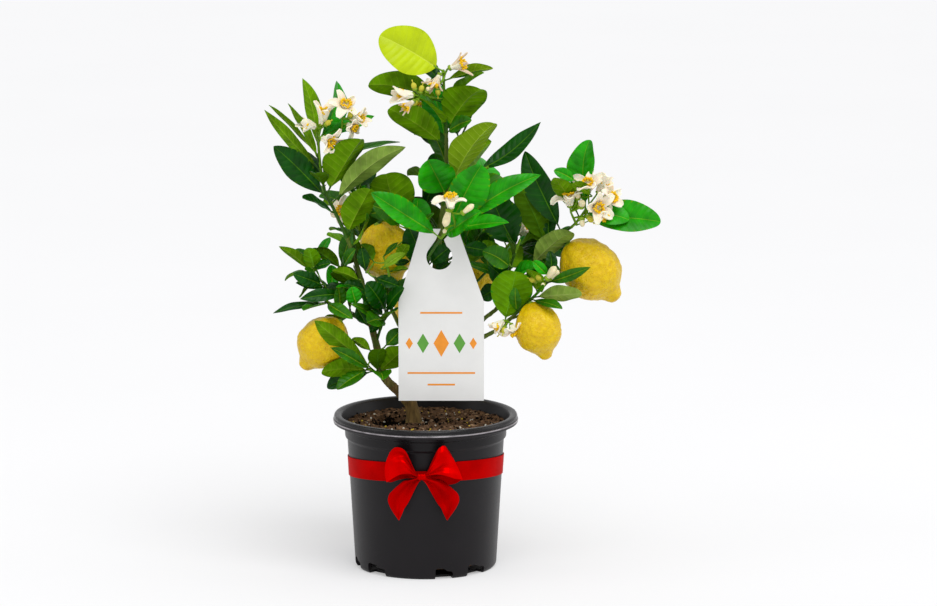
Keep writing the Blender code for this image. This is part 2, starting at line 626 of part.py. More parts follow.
class Plant:
    """Grows the whole plant: every stem, twig, leaf, fruit and bloom, each clear of the others."""

    def __init__(self):
        self.crowd = Crowd()
        self.limbs = {name: (spread(route, 2), radii) for name, (route, radii) in LIMBS.items()}
        self.stems = {name: [] for name in SPRAYS}
        self.leaves = {name: [] for name in SPRAYS}
        self.blooms = {name: [] for name in SPRAYS}
        self.skipped = []

    def grow(self):
        for route, radii in self.limbs.values():
            self.crowd.add(tube_points(route, radii, 6, CLEARANCE))
        self.crowd.add(tag_board())
        for name, spray in SPRAYS.items():
            self.set_frame(name, spray)
        for name, spray in SPRAYS.items():
            for shoot, count in spray.blooms:
                self.set_blooms(name, self.stems[name][shoot][0], count)
        for name, spray in SPRAYS.items():
            for leaf in spray.leaves:
                self.set_leaf(name, spray, leaf)
        for name, spray in SPRAYS.items():
            self.fill(name, spray, random.Random(spray.seed))

    def set_frame(self, name, spray):
        """The stem, its shoots, and the fruit with its stalks."""
        for route in (spray.stem, *spray.shoots):
            radius = spray.radius if route is spray.stem else spray.radius * 0.7
            self.add_stem(name, spread(route, 2), (radius, TIP_R))
        for fruit in spray.fruits:
            start, _ = point_at(self.stems[name][0][0], fruit.at)
            crown = Vector(fruit.crown)
            inside = crown.lerp(Vector(fruit.nipple), 0.06)
            middle = start.lerp(crown, 0.5) + Vector((0, 0, 2))
            self.stems[name].append(([start, middle, crown, inside], FRUIT_STALK_RADII))
            self.crowd.add(tube_points([start, middle, crown], FRUIT_STALK_RADII, 4, CLEARANCE), name)
            self.crowd.add(fruit_points(fruit))
            self.crowd.hearts.append((crown.lerp(Vector(fruit.nipple), 0.47), fruit.width * 0.42))

    def add_stem(self, name, route, radii):
        self.stems[name].append((route, radii))
        self.crowd.add(tube_points(route, radii, 4, CLEARANCE), name)

    def set_blooms(self, name, route, count):
        """Blossom on stalks that fan out round the end of a shoot."""
        tip, along = point_at(route, 1.0)
        for number in range(count):
            turn = Matrix.Rotation(math.radians(GOLDEN_DEG * number), 3, along)
            open_deg = 25 + 60 * number / max(1, count)
            way = Matrix.Rotation(math.radians(open_deg), 3, turn @ along.orthogonal()) @ along
            way = (way + Vector((0, -0.35, 0.1))).normalized()
            start = point_at(route, 1.0 - 0.05 * number)[0]
            length = BLOOM_STALK * (1 + 0.25 * (number % 3))
            bell = tube_points([start + way * length * 0.8, start + way * (length + BLOOM_DEPTH)],
                               (BLOOM_R * 0.2, BLOOM_R * 0.9), 5)
            stalk = tube_points([start, start + way * length], BLOOM_STALK_RADII, 4, CLEARANCE)
            if all(self.crowd.is_free(shape, name, blades_too=True) for shape in (bell, stalk)):
                self.crowd.add(bell)
                self.crowd.add(stalk, name)
                self.stems[name].append(([start, start + way * length], BLOOM_STALK_RADII))
                self.blooms[name].append((start + way * (length - 3.0), way))

    def place(self, name, root, leaf, steps, own=None):
        """Turns the leaf on its stalk until it is clear of all the rest, and keeps it. False if it never is.

        Its blade may cross the stems of the mass named own."""
        for more_lean, more_turn, depth in steps:
            tip = Vector(leaf.tip) + Vector((0, depth, 0))
            side, face = leaf_axes((tip - root).normalized(), leaf.lean + more_lean, leaf.turn + more_turn)
            shape = leaf_solid(root, tip, leaf.width, side, face, leaf.bend, CLEARANCE)
            blade, stalk = blade_only(shape), stalk_only(shape)
            if self.crowd.is_free(blade, own) and self.crowd.is_free(stalk, name, blades_too=True):
                self.crowd.add(blade, name, blade=True)
                self.crowd.add(stalk, name)
                self.leaves[name].append((root, tip, leaf.width, side, face, leaf.bend))
                return True
        return False

    def set_leaf(self, name, spray, leaf):
        tip = Vector(leaf.tip)
        root = min((point_at(route, leaf.at)[0] for route, _ in self.stems[name][:1 + len(spray.shoots)]),
                   key=lambda spot: (spot - tip).length)
        if not self.place(name, root, leaf, SETTLE, name):
            self.skipped.append((name, leaf.tip))

    def fill(self, name, spray, draw):
        """Adds the rule's twigs and leaves, in turn round each stem, inside the space of the mass."""
        routes = [route for route, _ in self.stems[name][:1 + len(spray.shoots)]]
        heart = sum((point_at(route, 0.6)[0] for route in routes), Vector()) / len(routes)
        for number in range(spray.twigs):
            start, along = point_at(routes[0], 0.2 + 0.7 * (number + 0.5) / spray.twigs)
            round_deg = number * GOLDEN_DEG + draw.uniform(-20, 20)
            out = self.outward(along, round_deg, draw.uniform(*TWIG_OPEN_DEG))
            way = (out + Vector((0, 0, TWIG_RISE))).normalized()
            end = start + way * spray.leaf_length * draw.uniform(*TWIG_LENGTH)
            route = spread((start, start.lerp(end, 0.5) + Vector((0, 0, -2)), end), 2)
            bar = tube_points(route, TWIG_RADII, 4, CLEARANCE)
            outer = tube_points(route[1:], TWIG_RADII, 4, CLEARANCE)
            if self.crowd.is_free(outer) and self.crowd.is_free(bar, name):
                self.add_stem(name, route, TWIG_RADII)
                routes.append(route)
        grown, tries = 0, 0
        while grown < spray.fill and tries < spray.fill * FILL_ROUNDS:
            route = routes[tries % len(routes)]
            share = 0.2 + 0.8 * ((tries // len(routes)) * 0.31 % 1.0)
            root, along = point_at(route, share)
            round_deg = tries * GOLDEN_DEG + draw.uniform(-15, 15)
            out = self.outward(along, round_deg, draw.uniform(*FILL_OPEN_DEG))
            length = spray.leaf_length * draw.uniform(*FILL_LENGTH)
            tip = root + (out + Vector((0, 0, draw.uniform(*FILL_RISE)))).normalized() * length
            lean, turn = draw.uniform(*FILL_LEAN_DEG), draw.uniform(*FILL_TURN_DEG)
            if tip.y > heart.y + 5:
                lean = -lean
            width, bend = length * draw.uniform(*FILL_WIDTH), draw.uniform(*FILL_BEND_DEG)
            leaf = Leaf(share, tip, width, lean, turn, bend)
            tries += 1
            if (tip - heart).length > spray.reach or self.hides_fruit(root.lerp(tip, 0.6)):
                continue
            if self.place(name, root, leaf, SETTLE[:FILL_TRIES]):
                grown += 1

    def hides_fruit(self, place):
        """Whether a leaf there would stand before a fruit, which the rule leaves in view."""
        for heart, size in self.crowd.hearts:
            aside = math.hypot(place.x - heart.x, place.z - heart.z)
            if place.y < heart.y and aside < size + HARVEST_ROOM:
                return True
        return False

    @staticmethod
    def outward(along, round_deg, open_deg):
        """A direction that opens by open_deg from the stem, at that angle round it."""
        turn = Matrix.Rotation(math.radians(round_deg), 3, along)
        return Matrix.Rotation(math.radians(open_deg), 3, turn @ along.orthogonal()) @ along


def make_limbs(plant, collection, cutters):
    """The trunk and the boughs, each cut 0.3 mm clear of the limb that bears it."""
    for name, (route, radii) in plant.limbs.items():
        flare = TRUNK_FLARE if name == "trunk" else 1.0
        limb = tube(name, route, radii, collection, "bark", sides=2, flare=flare)
        if name == "trunk":
            limb = boolean(limb, "DIFFERENCE", level_cutter(SOIL_TOP + SOIL_CROWN + GAP, cutters))
        for parent in LIMB_PARENTS.get(name, ()):
            there, size = plant.limbs[parent]
            flare = TRUNK_FLARE if parent == "trunk" else 1.0
            saddle = tube("saddle", there, size, cutters, sides=2, grow=GAP, flare=flare)
            limb = boolean(limb, "DIFFERENCE", saddle)


def level_cutter(top, cutters):
    """A box that takes away everything below that height."""
    bm = bmesh.new()
    bmesh.ops.create_cube(bm, size=60 * MM)
    bmesh.ops.translate(bm, verts=bm.verts, vec=Vector((-13, 0, top - 30)) * MM)
    return link("level", mesh_from(bm, "level"), cutters)


def solid_from(name, shape, collection):
    """An object from points in millimetres and faces."""
    points, faces = shape
    mesh = bpy.data.meshes.new(name)
    mesh.from_pydata([p * MM for p in points], [], faces)
    bm = bmesh.new()
    bm.from_mesh(mesh)
    bmesh.ops.recalc_face_normals(bm, faces=bm.faces)
    bm.to_mesh(mesh)
    bm.free()
    return link(name, mesh, collection)


def bloom_solid(place, way, collection):
    """A five-pointed open bell of petals, whose narrow end sits on its stalk."""
    bm = bmesh.new()
    bmesh.ops.create_cone(bm, cap_ends=True, segments=10, radius1=0.0, radius2=BLOOM_R * MM,
                          depth=BLOOM_DEPTH * MM)
    rim = sorted((v for v in bm.verts if v.co.z > 0), key=lambda v: math.atan2(v.co.y, v.co.x))
    for vert in rim[::2]:
        vert.co.x *= 0.5
        vert.co.y *= 0.5
    bmesh.ops.translate(bm, verts=bm.verts, vec=(0, 0, BLOOM_DEPTH / 2 * MM))
    obj = link("bloom", mesh_from(bm, "bloom"), collection)
    obj.matrix_world = Matrix.Translation(place * MM) @ way.to_track_quat("Z", "Y").to_matrix().to_4x4()
    return obj


def make_sprays(plant, collection, cutters):
    """Each mass of foliage as one solid: stem, shoots, twigs, leaves, fruit and blossom in one union."""
    for name, spray in SPRAYS.items():
        (route, radii), *others = plant.stems[name]
        stem = tube(name, route, radii, collection, "foliage", sides=1)
        for bar, size in others:
            tube("twig", bar, size, cutters)
        for leaf in plant.leaves[name]:
            solid_from("leaf", leaf_solid(*leaf), cutters)
        for fruit in spray.fruits:
            solid_from("fruit", fruit_points(fruit), cutters)
        for place, way in plant.blooms[name]:
            bloom_solid(place, way, cutters)
        stem = boolean(stem, "UNION", cutters, "MANIFOLD")
        there, size = plant.limbs[spray.parent]
        saddle = tube("saddle", there, size, cutters, sides=2, grow=GAP)
        boolean(stem, "DIFFERENCE", saddle, "MANIFOLD")


def pot_outer_radius(height):
    return POT_FOOT_R + (POT_SHOULDER_R - POT_FOOT_R) * height / (POT_HEIGHT - POT_COLLAR)


def pot_inner_radius(height):
    return pot_outer_radius(height) - POT_WALL


def make_pot(collection, cutters):
    """One wall all round, with a rounded lip, a collar below it and drain notches at the foot."""
    top = POT_HEIGHT
    outer = [
        (POT_MOUTH_R + 3, top), (POT_LIP_R - 2.5, top - 1.5), (POT_LIP_R, top - 5), (POT_LIP_R - 2, top - 9),
        (POT_MOUTH_R + 1.5, top - 10.5), (POT_MOUTH_R + 0.5, top - 14), (POT_COLLAR_R, top - 15.5),
        (POT_COLLAR_R - 0.5, top - 25), (POT_SHOULDER_R, top - 27.5), (pot_outer_radius(3), 3.0),
        (POT_FOOT_R - 2, 0.0), (0.0, 0.0),
    ]
    inner = [
        (0.0, POT_FLOOR), (pot_inner_radius(POT_FLOOR) - 1, POT_FLOOR),
        (POT_SHOULDER_R - POT_WALL, top - 28), (POT_COLLAR_R - POT_WALL, top - 14), (POT_MOUTH_R, top - 2),
    ]
    # The profile runs from the floor's middle up the inside, over the lip and down the outside.
    pot = as_mesh(turned("pot", [*inner, *outer], collection, "pot"))
    for angle in [math.radians(a + 90 * quarter) for quarter in range(4) for a in NOTCH_PAIR_DEG]:
        bm = bmesh.new()
        bmesh.ops.create_cube(bm, size=1.0)
        bmesh.ops.scale(bm, verts=bm.verts, vec=Vector((2 * NOTCH_DEPTH, NOTCH_WIDTH, 2 * NOTCH_HEIGHT)) * MM)
        notch = link("notch", mesh_from(bm, "notch"), cutters)
        notch.location = Vector((math.cos(angle), math.sin(angle), 0)) * POT_FOOT_R * MM
        notch.rotation_euler.z = angle
        bpy.context.view_layer.update()
        pot = boolean(pot, "DIFFERENCE", notch)
    pot.data.shade_smooth()
    pot.data.set_sharp_from_angle(angle=math.radians(35))


def make_soil(collection):
    """The filling, turned to the pot's inside with a little room, from above the notches to below the lip."""
    collar = POT_COLLAR_R - POT_WALL
    wall = POT_SHOULDER_R - POT_WALL - SOIL_ROOM
    slope = (POT_SHOULDER_R - POT_FOOT_R) / (POT_HEIGHT - POT_COLLAR)
    shoulder = POT_HEIGHT - POT_COLLAR - 2
    turned("soil", [
        (0.0, SOIL_TOP + SOIL_CROWN), (SOIL_CROWN_R, SOIL_TOP + SOIL_CROWN), (collar + 0.6, SOIL_TOP),
        (collar - SOIL_ROOM, POT_HEIGHT - 15), (wall, shoulder),
        (wall - slope * (shoulder - SOIL_BED), SOIL_BED), (0.0, SOIL_BED),
    ], collection, "soil")


def drawn_share(angle_deg):
    """The band's width at that angle from the knot, as a share of its full width."""
    near, far = RIBBON_DRAWN_DEG
    rise = min(1.0, max(0.0, (angle_deg - near) / (far - near)))
    narrow = RIBBON_DRAWN_WIDTH / RIBBON_WIDTH
    return narrow + (1 - narrow) * rise * rise * (3 - 2 * rise)


def make_ribbon(collection):
    """The band: a turned ring that is then tilted, and drawn together at the knot, along the pot's cone."""
    low, high = RIBBON_MIDDLE - RIBBON_WIDTH / 2, RIBBON_MIDDLE + RIBBON_WIDTH / 2
    inner = [(pot_outer_radius(z) + RIBBON_OFF, z) for z in (low, high)]
    outer = [(r + RIBBON_THICK, z) for r, z in reversed(inner)]
    band = as_mesh(turned("ribbon_band", [*outer, *inner], collection, "ribbon"))
    knot = math.atan2(-POT_SHOULDER_R, KNOT_X)
    for vert in band.data.vertices:
        radius = math.hypot(vert.co.x, vert.co.y)
        angle = math.atan2(vert.co.y, vert.co.x)
        off = abs(math.degrees((angle - knot + math.pi) % math.tau - math.pi))
        share = drawn_share(off)
        up = (vert.co.z / MM - RIBBON_MIDDLE) * share - RIBBON_DIP * (1 - share)
        tilt = RIBBON_SLOPE * POT_SHOULDER_R * math.cos(angle) - RIBBON_RISE * math.sin(angle)
        height = RIBBON_MIDDLE + up + tilt
        radius += (pot_outer_radius(height) - pot_outer_radius(vert.co.z / MM)) * MM
        vert.co = (radius * math.cos(angle), radius * math.sin(angle), height * MM)


def knot_place():
    """The middle of the knot, which sits on the front of the band."""
    wall = pot_outer_radius(KNOT_UP) + RIBBON_OFF + RIBBON_THICK
    return Vector((KNOT_X, -(wall + GAP + KNOT_SIZE[1] / 2), KNOT_UP))


def ball(name, size, place, collection, look=None):
    """An egg-shaped solid of that size round that place."""
    bm = bmesh.new()
    bmesh.ops.create_uvsphere(bm, u_segments=12, v_segments=8, radius=0.5)
    bmesh.ops.scale(bm, verts=bm.verts, vec=Vector(size) * MM)
    bmesh.ops.translate(bm, verts=bm.verts, vec=place * MM)
    made = link(name, mesh_from(bm, name), collection, look)
    made.data.shade_smooth()
    return made


def make_bow(collection, cutters):
    """A knot, two puffed loops and two tails, in front of the band."""
    place = knot_place()
    ball("bow_knot", KNOT_SIZE, place, collection, "ribbon")
    for side, sign in (("left", -1), ("right", 1)):
        loop = make_loop(f"bow_loop_{side}", sign, place, collection)
        room = Vector(KNOT_SIZE) + 2 * Vector((GAP, GAP, GAP))
        boolean(loop, "DIFFERENCE", ball("knot_room", room, place, cutters))
        make_tail(f"bow_tail_{side}", sign, place, collection, cutters)


def make_loop(name, sign, place, collection):
    """A puffed loop, drawn out from the knot, narrow there and full at its outer end."""
    bm = bmesh.new()
    bmesh.ops.create_uvsphere(bm, u_segments=14, v_segments=8, radius=0.5)
    half = LOOP_LENGTH / 2
    for vert in bm.verts:
        share = vert.co.x + 0.5
        narrow = 0.25 + 0.75 * min(1.0, share * 1.7)
        vert.co = (vert.co.x * LOOP_LENGTH + half + KNOT_SIZE[0] / 4,
                   vert.co.y * LOOP_DEPTH * (0.55 + 0.45 * share) - LOOP_FORWARD * share,
                   vert.co.z * LOOP_HEIGHT * narrow)
    bmesh.ops.transform(bm, matrix=Matrix.Rotation(-math.radians(LOOP_TILT_DEG), 4, "Y"), verts=bm.verts)
    for vert in bm.verts:
        vert.co = (Vector((sign * vert.co.x, vert.co.y, vert.co.z)) + place) * MM
    bmesh.ops.recalc_face_normals(bm, faces=bm.faces)
    loop = link(name, mesh_from(bm, name), collection, "ribbon")
    loop.data.shade_smooth()
    return loop


def make_tail(name, sign, place, collection, cutters):
    """A ribbon end that hangs from the knot, follows the pot's round, and is cut to a point."""
    route = spread([(sign * out, 0, up) for out, up in TAIL_ROUTE], TAIL_STEPS)
    bm = bmesh.new()
    rows = []
    for i, middle in enumerate(route):
        share = i / (len(route) - 1)
        along = route[min(i + 1, len(route) - 1)] - route[max(i - 1, 0)]
        across = Vector((-along.z, 0, along.x)).normalized()
        half = TAIL_WIDTH / 2 * min(1.0, 0.25 + 2.4 * share) * min(1.0, 0.03 + (1 - share) / 0.4) ** 0.7
        row = []
        for edge in (-half, 0, half):
            x, z = (middle + across * edge).x + place.x, (middle + across * edge).z + place.z
            wall = pot_outer_radius(z) + TAIL_OFF
            row.append(bm.verts.new(Vector((x, -math.sqrt(wall * wall - x * x), z)) * MM))
        rows.append(row)
    for low, high in zip(rows, rows[1:]):
        for i in range(len(low) - 1):
            bm.faces.new((low[i], low[i + 1], high[i + 1], high[i]))
    bmesh.ops.recalc_face_normals(bm, faces=bm.faces)
    tail = link(name, mesh_from(bm, name), collection, "ribbon")
    sheet = tail.modifiers.new("thickness", "SOLIDIFY")
    sheet.thickness = RIBBON_THICK * MM
    sheet.offset = 0.0
    tail = as_mesh(tail)
    for other in ("bow_knot", name.replace("tail", "loop")):
        room = link("room", bpy.data.objects[other].data.copy(), cutters)
        swell = room.modifiers.new("swell", "DISPLACE")
        swell.strength = GAP * MM
        swell.mid_level = 0.0
        tail = boolean(tail, "DIFFERENCE", as_mesh(room))


def tag_outline():
    """The tag's outline, anticlockwise from its lower left corner, with the hole and the slot above it."""
    half, top_half = TAG_WIDTH / 2, TAG_TOP_WIDTH / 2
    slot = TAG_HEIGHT - 12
    right = [(-half, 0), (half, 0), (half, TAG_SHOULDER), (top_half - 3, TAG_HEIGHT - 2),
             (top_half - 5, TAG_HEIGHT), (TAG_RIGHT_PRONG[0], TAG_HEIGHT), (TAG_RIGHT_PRONG[1], slot)]
    left = [(TAG_LEFT_PRONG[1], slot), (TAG_LEFT_PRONG[0], TAG_HEIGHT), (1 - top_half, TAG_HEIGHT),
            (-2 - top_half, TAG_HEIGHT - 3), (-3 - top_half, TAG_HEIGHT - 8), (-half, TAG_SHOULDER)]
    first, last = (math.radians(a) for a in TAG_HOLE_ARC_DEG)
    hole = []
    for i in range(TAG_HOLE_STEPS + 1):
        angle = first + (last - first) * i / TAG_HOLE_STEPS
        hole.append((TAG_HOLE[0] + TAG_HOLE_R * math.cos(angle), TAG_HOLE[1] + TAG_HOLE_R * math.sin(angle)))
    return [*right, *hole, *left]


def tag_board():
    """(points, faces) of the tag's board with room round it, for the test of what touches what."""
    points = []
    for depth in (-CLEARANCE, CLEARANCE):
        for across, up in tag_outline():
            points.append(Vector((TAG_MIDDLE_X + across, TAG_PLANE_Y + depth, TAG_FOOT + up)))
    count = len(points) // 2
    faces = [tuple(range(count)), tuple(range(2 * count - 1, count - 1, -1))]
    faces += [(i, (i + 1) % count, count + (i + 1) % count, count + i) for i in range(count)]
    return points, faces


def make_tag(plant, collection, cutters):
    """A flat card with a round hole and an open slot above it, slipped over the front twig."""
    curve = bpy.data.curves.new("tag", "CURVE")
    curve.dimensions = "2D"
    curve.fill_mode = "BOTH"
    curve.extrude = TAG_THICK / 2 * MM
    spline = curve.splines.new("POLY")
    corners = tag_outline()
    spline.points.add(len(corners) - 1)
    for spot, (across, up) in zip(spline.points, corners):
        spot.co = (across * MM, up * MM, 0, 1)
    spline.use_cyclic_u = True
    tag = link("tag", curve, collection)
    tag.rotation_euler = (math.radians(90), 0, 0)
    tag.location = Vector((TAG_MIDDLE_X, TAG_PLANE_Y, TAG_FOOT)) * MM
    tag = as_mesh(tag)
    tag.data.materials.append(material("tag"))
    route, radii = plant.stems["front_spray"][0]
    boolean(tag, "DIFFERENCE", tube("twig_room", route, radii, cutters, sides=1, grow=GAP))


def main():
    clear_scene()
    collection = new_collection("potted_lemon_tree")
    cutters = new_collection("cutters")
    cutters.hide_render = True
    plant = Plant()
    plant.grow()
    make_limbs(plant, collection, cutters)
    make_sprays(plant, collection, cutters)
    make_pot(collection, cutters)
    make_soil(collection)
    make_ribbon(collection)
    make_bow(collection, cutters)
    make_tag(plant, collection, cutters)
    print("leaves left out", plant.skipped)


main()
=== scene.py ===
"""Looks of a ponderosa lemon tree in its nursery pot, with a ribbon bow and a hang tag.

Sizes are in millimetres: x runs to the right, y away from the viewer and z up. Meshes are made in metres.
The leaves, twigs, blossom and fruit grow by the same seeded rule as the part's own source, and are then
dressed with finer shapes.
"""

import logging
import math
import random
from collections.abc import Iterable, Sequence
from dataclasses import dataclass, field, replace
from enum import Enum

import bmesh
import bpy
import numpy as np
from mathutils import Matrix, Vector, noise
from mathutils.bvhtree import BVHTree


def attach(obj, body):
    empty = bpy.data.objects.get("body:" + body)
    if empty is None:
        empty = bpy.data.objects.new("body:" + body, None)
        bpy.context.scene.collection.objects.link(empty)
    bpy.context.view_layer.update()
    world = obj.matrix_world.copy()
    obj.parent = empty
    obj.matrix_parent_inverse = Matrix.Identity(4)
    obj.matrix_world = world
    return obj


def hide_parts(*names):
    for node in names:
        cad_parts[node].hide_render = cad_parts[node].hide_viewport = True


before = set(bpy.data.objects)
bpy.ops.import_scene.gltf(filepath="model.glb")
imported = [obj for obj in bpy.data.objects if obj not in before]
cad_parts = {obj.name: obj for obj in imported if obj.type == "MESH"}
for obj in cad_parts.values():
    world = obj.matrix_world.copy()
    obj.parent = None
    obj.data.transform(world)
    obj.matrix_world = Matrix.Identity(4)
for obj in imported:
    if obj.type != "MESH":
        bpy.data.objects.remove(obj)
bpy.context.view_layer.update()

log = logging.getLogger("lemon_tree")

MM = 0.001
BODY = "root"
GOLDEN_DEG = 137.5
SPROUT_SEED = 500
LOOKS_SEED = 1000

Span = tuple[float, float]
Point = tuple[float, float, float]
Route = tuple[Point, ...]
Colour = tuple[float, float, float]
Shape = tuple[list[Vector], list[tuple[int, ...]]]


def screen(*channels: int) -> Colour:
    """The linear colour of an 8-bit screen colour.

    Args:
        *channels: red, green and blue, from 0 to 255.

    Returns:
        Their linear shares, as a shader takes them.
    """
    shares = (value / 255 for value in channels)
    return tuple(share / 12.92 if share <= 0.04045 else ((share + 0.055) / 1.055) ** 2.4 for share in shares)


def tinted(colour: Colour, share: float) -> Colour:
    """The colour, lighter above 1 and darker below it."""
    return colour[0] * share, colour[1] * share, colour[2] * share


def spin(angle: float, axis: Vector | str) -> Matrix:
    """The turn by an angle in radians about an axis."""
    return Matrix.Rotation(angle, 3, axis)


def rise(height: float) -> Vector:
    """The step straight up, or down below 0."""
    return Vector((0, 0, height))


def polar(out: float, angle: float) -> Span:
    """The place across and away, from its distance and its angle in radians."""
    return out * math.cos(angle), out * math.sin(angle)


class Graph:
    """A material's node tree, with short ways to add nodes and join them."""

    def __init__(self, material: bpy.types.Material) -> None:
        """Opens the node tree of a new material.

        Args:
            material: the material.
        """
        material.use_nodes = True
        self.tree = material.node_tree
        self.shader = self.tree.nodes["Principled BSDF"]
        self.place = self.tree.nodes.new("ShaderNodeTexCoord").outputs["Object"]

    def node(self, kind: str, out: str, **values: float | Sequence[float] | bpy.types.NodeSocket
             ) -> bpy.types.NodeSocket:
        """Adds a node.

        Args:
            kind: its type.
            out: the name of its output.
            **values: each input's value, or the socket that feeds it, by its name with _ for a space.

        Returns:
            The output's socket.
        """
        made = self.tree.nodes.new(f"ShaderNode{kind}")
        for name, value in values.items():
            socket = made.inputs[name.replace("_", " ")]
            if isinstance(value, bpy.types.NodeSocket):
                self.tree.links.new(value, socket)
            else:
                socket.default_value = value
        return made.outputs[out]

    def noise(self, size: float, stretch: Point = (1.0, 1.0, 1.0), detail: float = 3.0
              ) -> bpy.types.NodeSocket:
        """A noise over the piece's own space.

        Args:
            size: of its spots.
            stretch: how much longer the spots are along each axis.
            detail: its octaves.

        Returns:
            The socket of its value, from 0 to 1.
        """
        place = self.node("Mapping", "Vector", Scale=[1.0 / part for part in stretch], Vector=self.place)
        return self.node("TexNoise", "Fac", Scale=1.0 / (size * MM), Detail=detail, Vector=place)

    def cells(self, size: float) -> bpy.types.NodeSocket:
        """The distance to the nearest of many scattered pits that are this far apart."""
        return self.node("TexVoronoi", "Distance", Scale=1.0 / (size * MM), Vector=self.place)

    def range(self, value: bpy.types.NodeSocket, start: Span, end: Span) -> bpy.types.NodeSocket:
        """The value, mapped from one span to another."""
        return self.node("MapRange", "Result", Value=value, From_Min=start[0], From_Max=start[1],
                         To_Min=end[0], To_Max=end[1])

    def mix(self, share: bpy.types.NodeSocket, first: Colour, second: Colour) -> None:
        """Blends two colours into the shader's own.

        Args:
            share: how much of the second.
            first: the colour at 0.
            second: the colour at 1.
        """
        made = self.tree.nodes.new("ShaderNodeMix")
        made.data_type = "RGBA"
        sockets = {socket.identifier: socket for socket in (*made.inputs, *made.outputs)}
        sockets["A_Color"].default_value = (*first, 1.0)
        sockets["B_Color"].default_value = (*second, 1.0)
        self.tree.links.new(share, sockets["Factor_Float"])
        self.tree.links.new(sockets["Result_Color"], self.shader.inputs["Base Color"])

    def relief(self, height: bpy.types.NodeSocket, depth: float) -> None:
        """Adds a bump to those that the shader has.

        Args:
            height: the socket of its height, from 0 to 1.
            depth: what 1 stands for.
        """
        bump = self.node("Bump", "Normal", Strength=1.0, Distance=depth * MM, Height=height)
        normal = self.shader.inputs["Normal"]
        if normal.is_linked:
            self.tree.links.new(normal.links[0].from_socket, bump.node.inputs["Normal"])
        self.tree.links.new(bump, normal)


@dataclass(frozen=True)
class Finish:
    """A surface finish: two colours in soft patches, and a fine grain.

    Attributes:
        other: the colour of the patches.
        patch: their size.
        swing: how far the roughness goes to either side.
        grain: the size of the grain.
        depth: its height.
        stretch: how much longer patches and grain are along each axis.
        glow: the share of light that goes under the surface.
        light: how much it shines by itself.
        gloss: how strongly it mirrors, where 0.5 is plain plastic.
        metal: how far its highlights take its own colour, as those of satin do.
        sheen: the colour of what it mirrors at a slant.
    """

    name: str
    colour: Colour
    other: Colour
    patch: float = 12.0
    roughness: float = 0.5
    swing: float = 0.06
    grain: float = 0.6
    depth: float = 0.03
    stretch: Point = (1.0, 1.0, 1.0)
    glow: float = 0.0
    light: float = 0.0
    gloss: float = 0.2
    metal: float = 0.0
    sheen: Colour = (1.0, 1.0, 1.0)

    def material(self) -> bpy.types.Material:
        """The material of this finish, made the first time.

        Returns:
            The material.
        """
        found = bpy.data.materials.get(self.name)
        if found:
            return found
        made = bpy.data.materials.new(self.name)
        graph = Graph(made)
        for socket, value in (("Roughness", self.roughness), ("Emission Strength", self.light),
                              ("Subsurface Weight", self.glow), ("Subsurface Scale", 2.0 * MM),
                              ("Specular IOR Level", self.gloss), ("Metallic", self.metal),
                              ("Specular Tint", (*self.sheen, 1.0))):
            graph.shader.inputs[socket].default_value = value
        self.paint(graph)
        return made

    def paint(self, graph: Graph) -> None:
        """Gives the material its patches, its swing of roughness and its grain.

        Args:
            graph: the material's nodes.
        """
        patches = graph.range(graph.noise(self.patch, self.stretch), (0.35, 0.65), (0.0, 1.0))
        graph.mix(patches, self.colour, self.other)
        grain = graph.noise(self.grain, self.stretch, 2.0)
        rough = graph.range(grain, (0.3, 0.7), (self.roughness - self.swing, self.roughness + self.swing))
        graph.tree.links.new(rough, graph.shader.inputs["Roughness"])
        graph.relief(grain, self.depth)


@dataclass(frozen=True)
class RindFinish(Finish):
    """Lemon rind: the patches and grain of any finish, with dimples, and a pit over each oil gland."""

    patch: float = 5.0
    roughness: float = 0.33
    grain: float = 0.8
    depth: float = 0.1
    gloss: float = 0.28
    pit: float = 1.9
    pit_depth: float = 0.5
    dimple: float = 3.2
    dimple_depth: float = 0.6

    def paint(self, graph: Graph) -> None:
        """Adds the dimples and pits to the plain finish.

        Args:
            graph: the material's nodes.
        """
        super().paint(graph)
        graph.relief(graph.noise(self.dimple, detail=2.0), self.dimple_depth)
        graph.relief(graph.range(graph.cells(self.pit), (0.0, 0.55), (0.0, 1.0)), self.pit_depth)


@dataclass(frozen=True)
class SatinFinish(Finish):
    """Ribbon satin: long floats of thread that catch the light along the band, in red only."""

    patch: float = 30.0
    swing: float = 0.05
    grain: float = 0.8
    depth: float = 0.01
    gloss: float = 0.02
    sheen: Colour = (1.0, 0.02, 0.02)
    thread: float = 0.35
    thread_depth: float = 0.02

    def paint(self, graph: Graph) -> None:
        """Adds the threads to the plain finish.

        Args:
            graph: the material's nodes.
        """
        super().paint(graph)
        graph.relief(graph.noise(self.thread, (40.0, 40.0, 1.0), 1.0), self.thread_depth)


class Tone(Enum):
    """A leaf's colours, upper side, under side and midrib, from the newest growth to the oldest.

    The oldest, darkest tone partly stands for painted shade as well. The last tone is a painted sheen, a
    pale grey-green that stands for light mirrored off the gloss of a few leaves. MIXED is left to the draw.
    """

    YOUNG = ((190, 212, 14), (180, 206, 24), (208, 224, 70))
    PALE = ((122, 164, 20), (132, 170, 24), (166, 196, 62))
    BRIGHT = ((36, 164, 2), (108, 166, 4), (116, 180, 40))
    MID = ((48, 116, 2), (104, 154, 2), (132, 170, 34))
    # deep green of the oldest leaves, partly darkened as painted shade
    DEEP = ((12, 78, 1), (78, 122, 2), (78, 130, 24))
    # painted sheen: a pale grey-green that stands for light mirrored off the gloss of a few leaves
    DULL = ((96, 132, 40), (140, 172, 72), (160, 184, 90))
    MIXED = ()


YOUNG, PALE, BRIGHT, MID, DEEP, DULL, MIXED = Tone


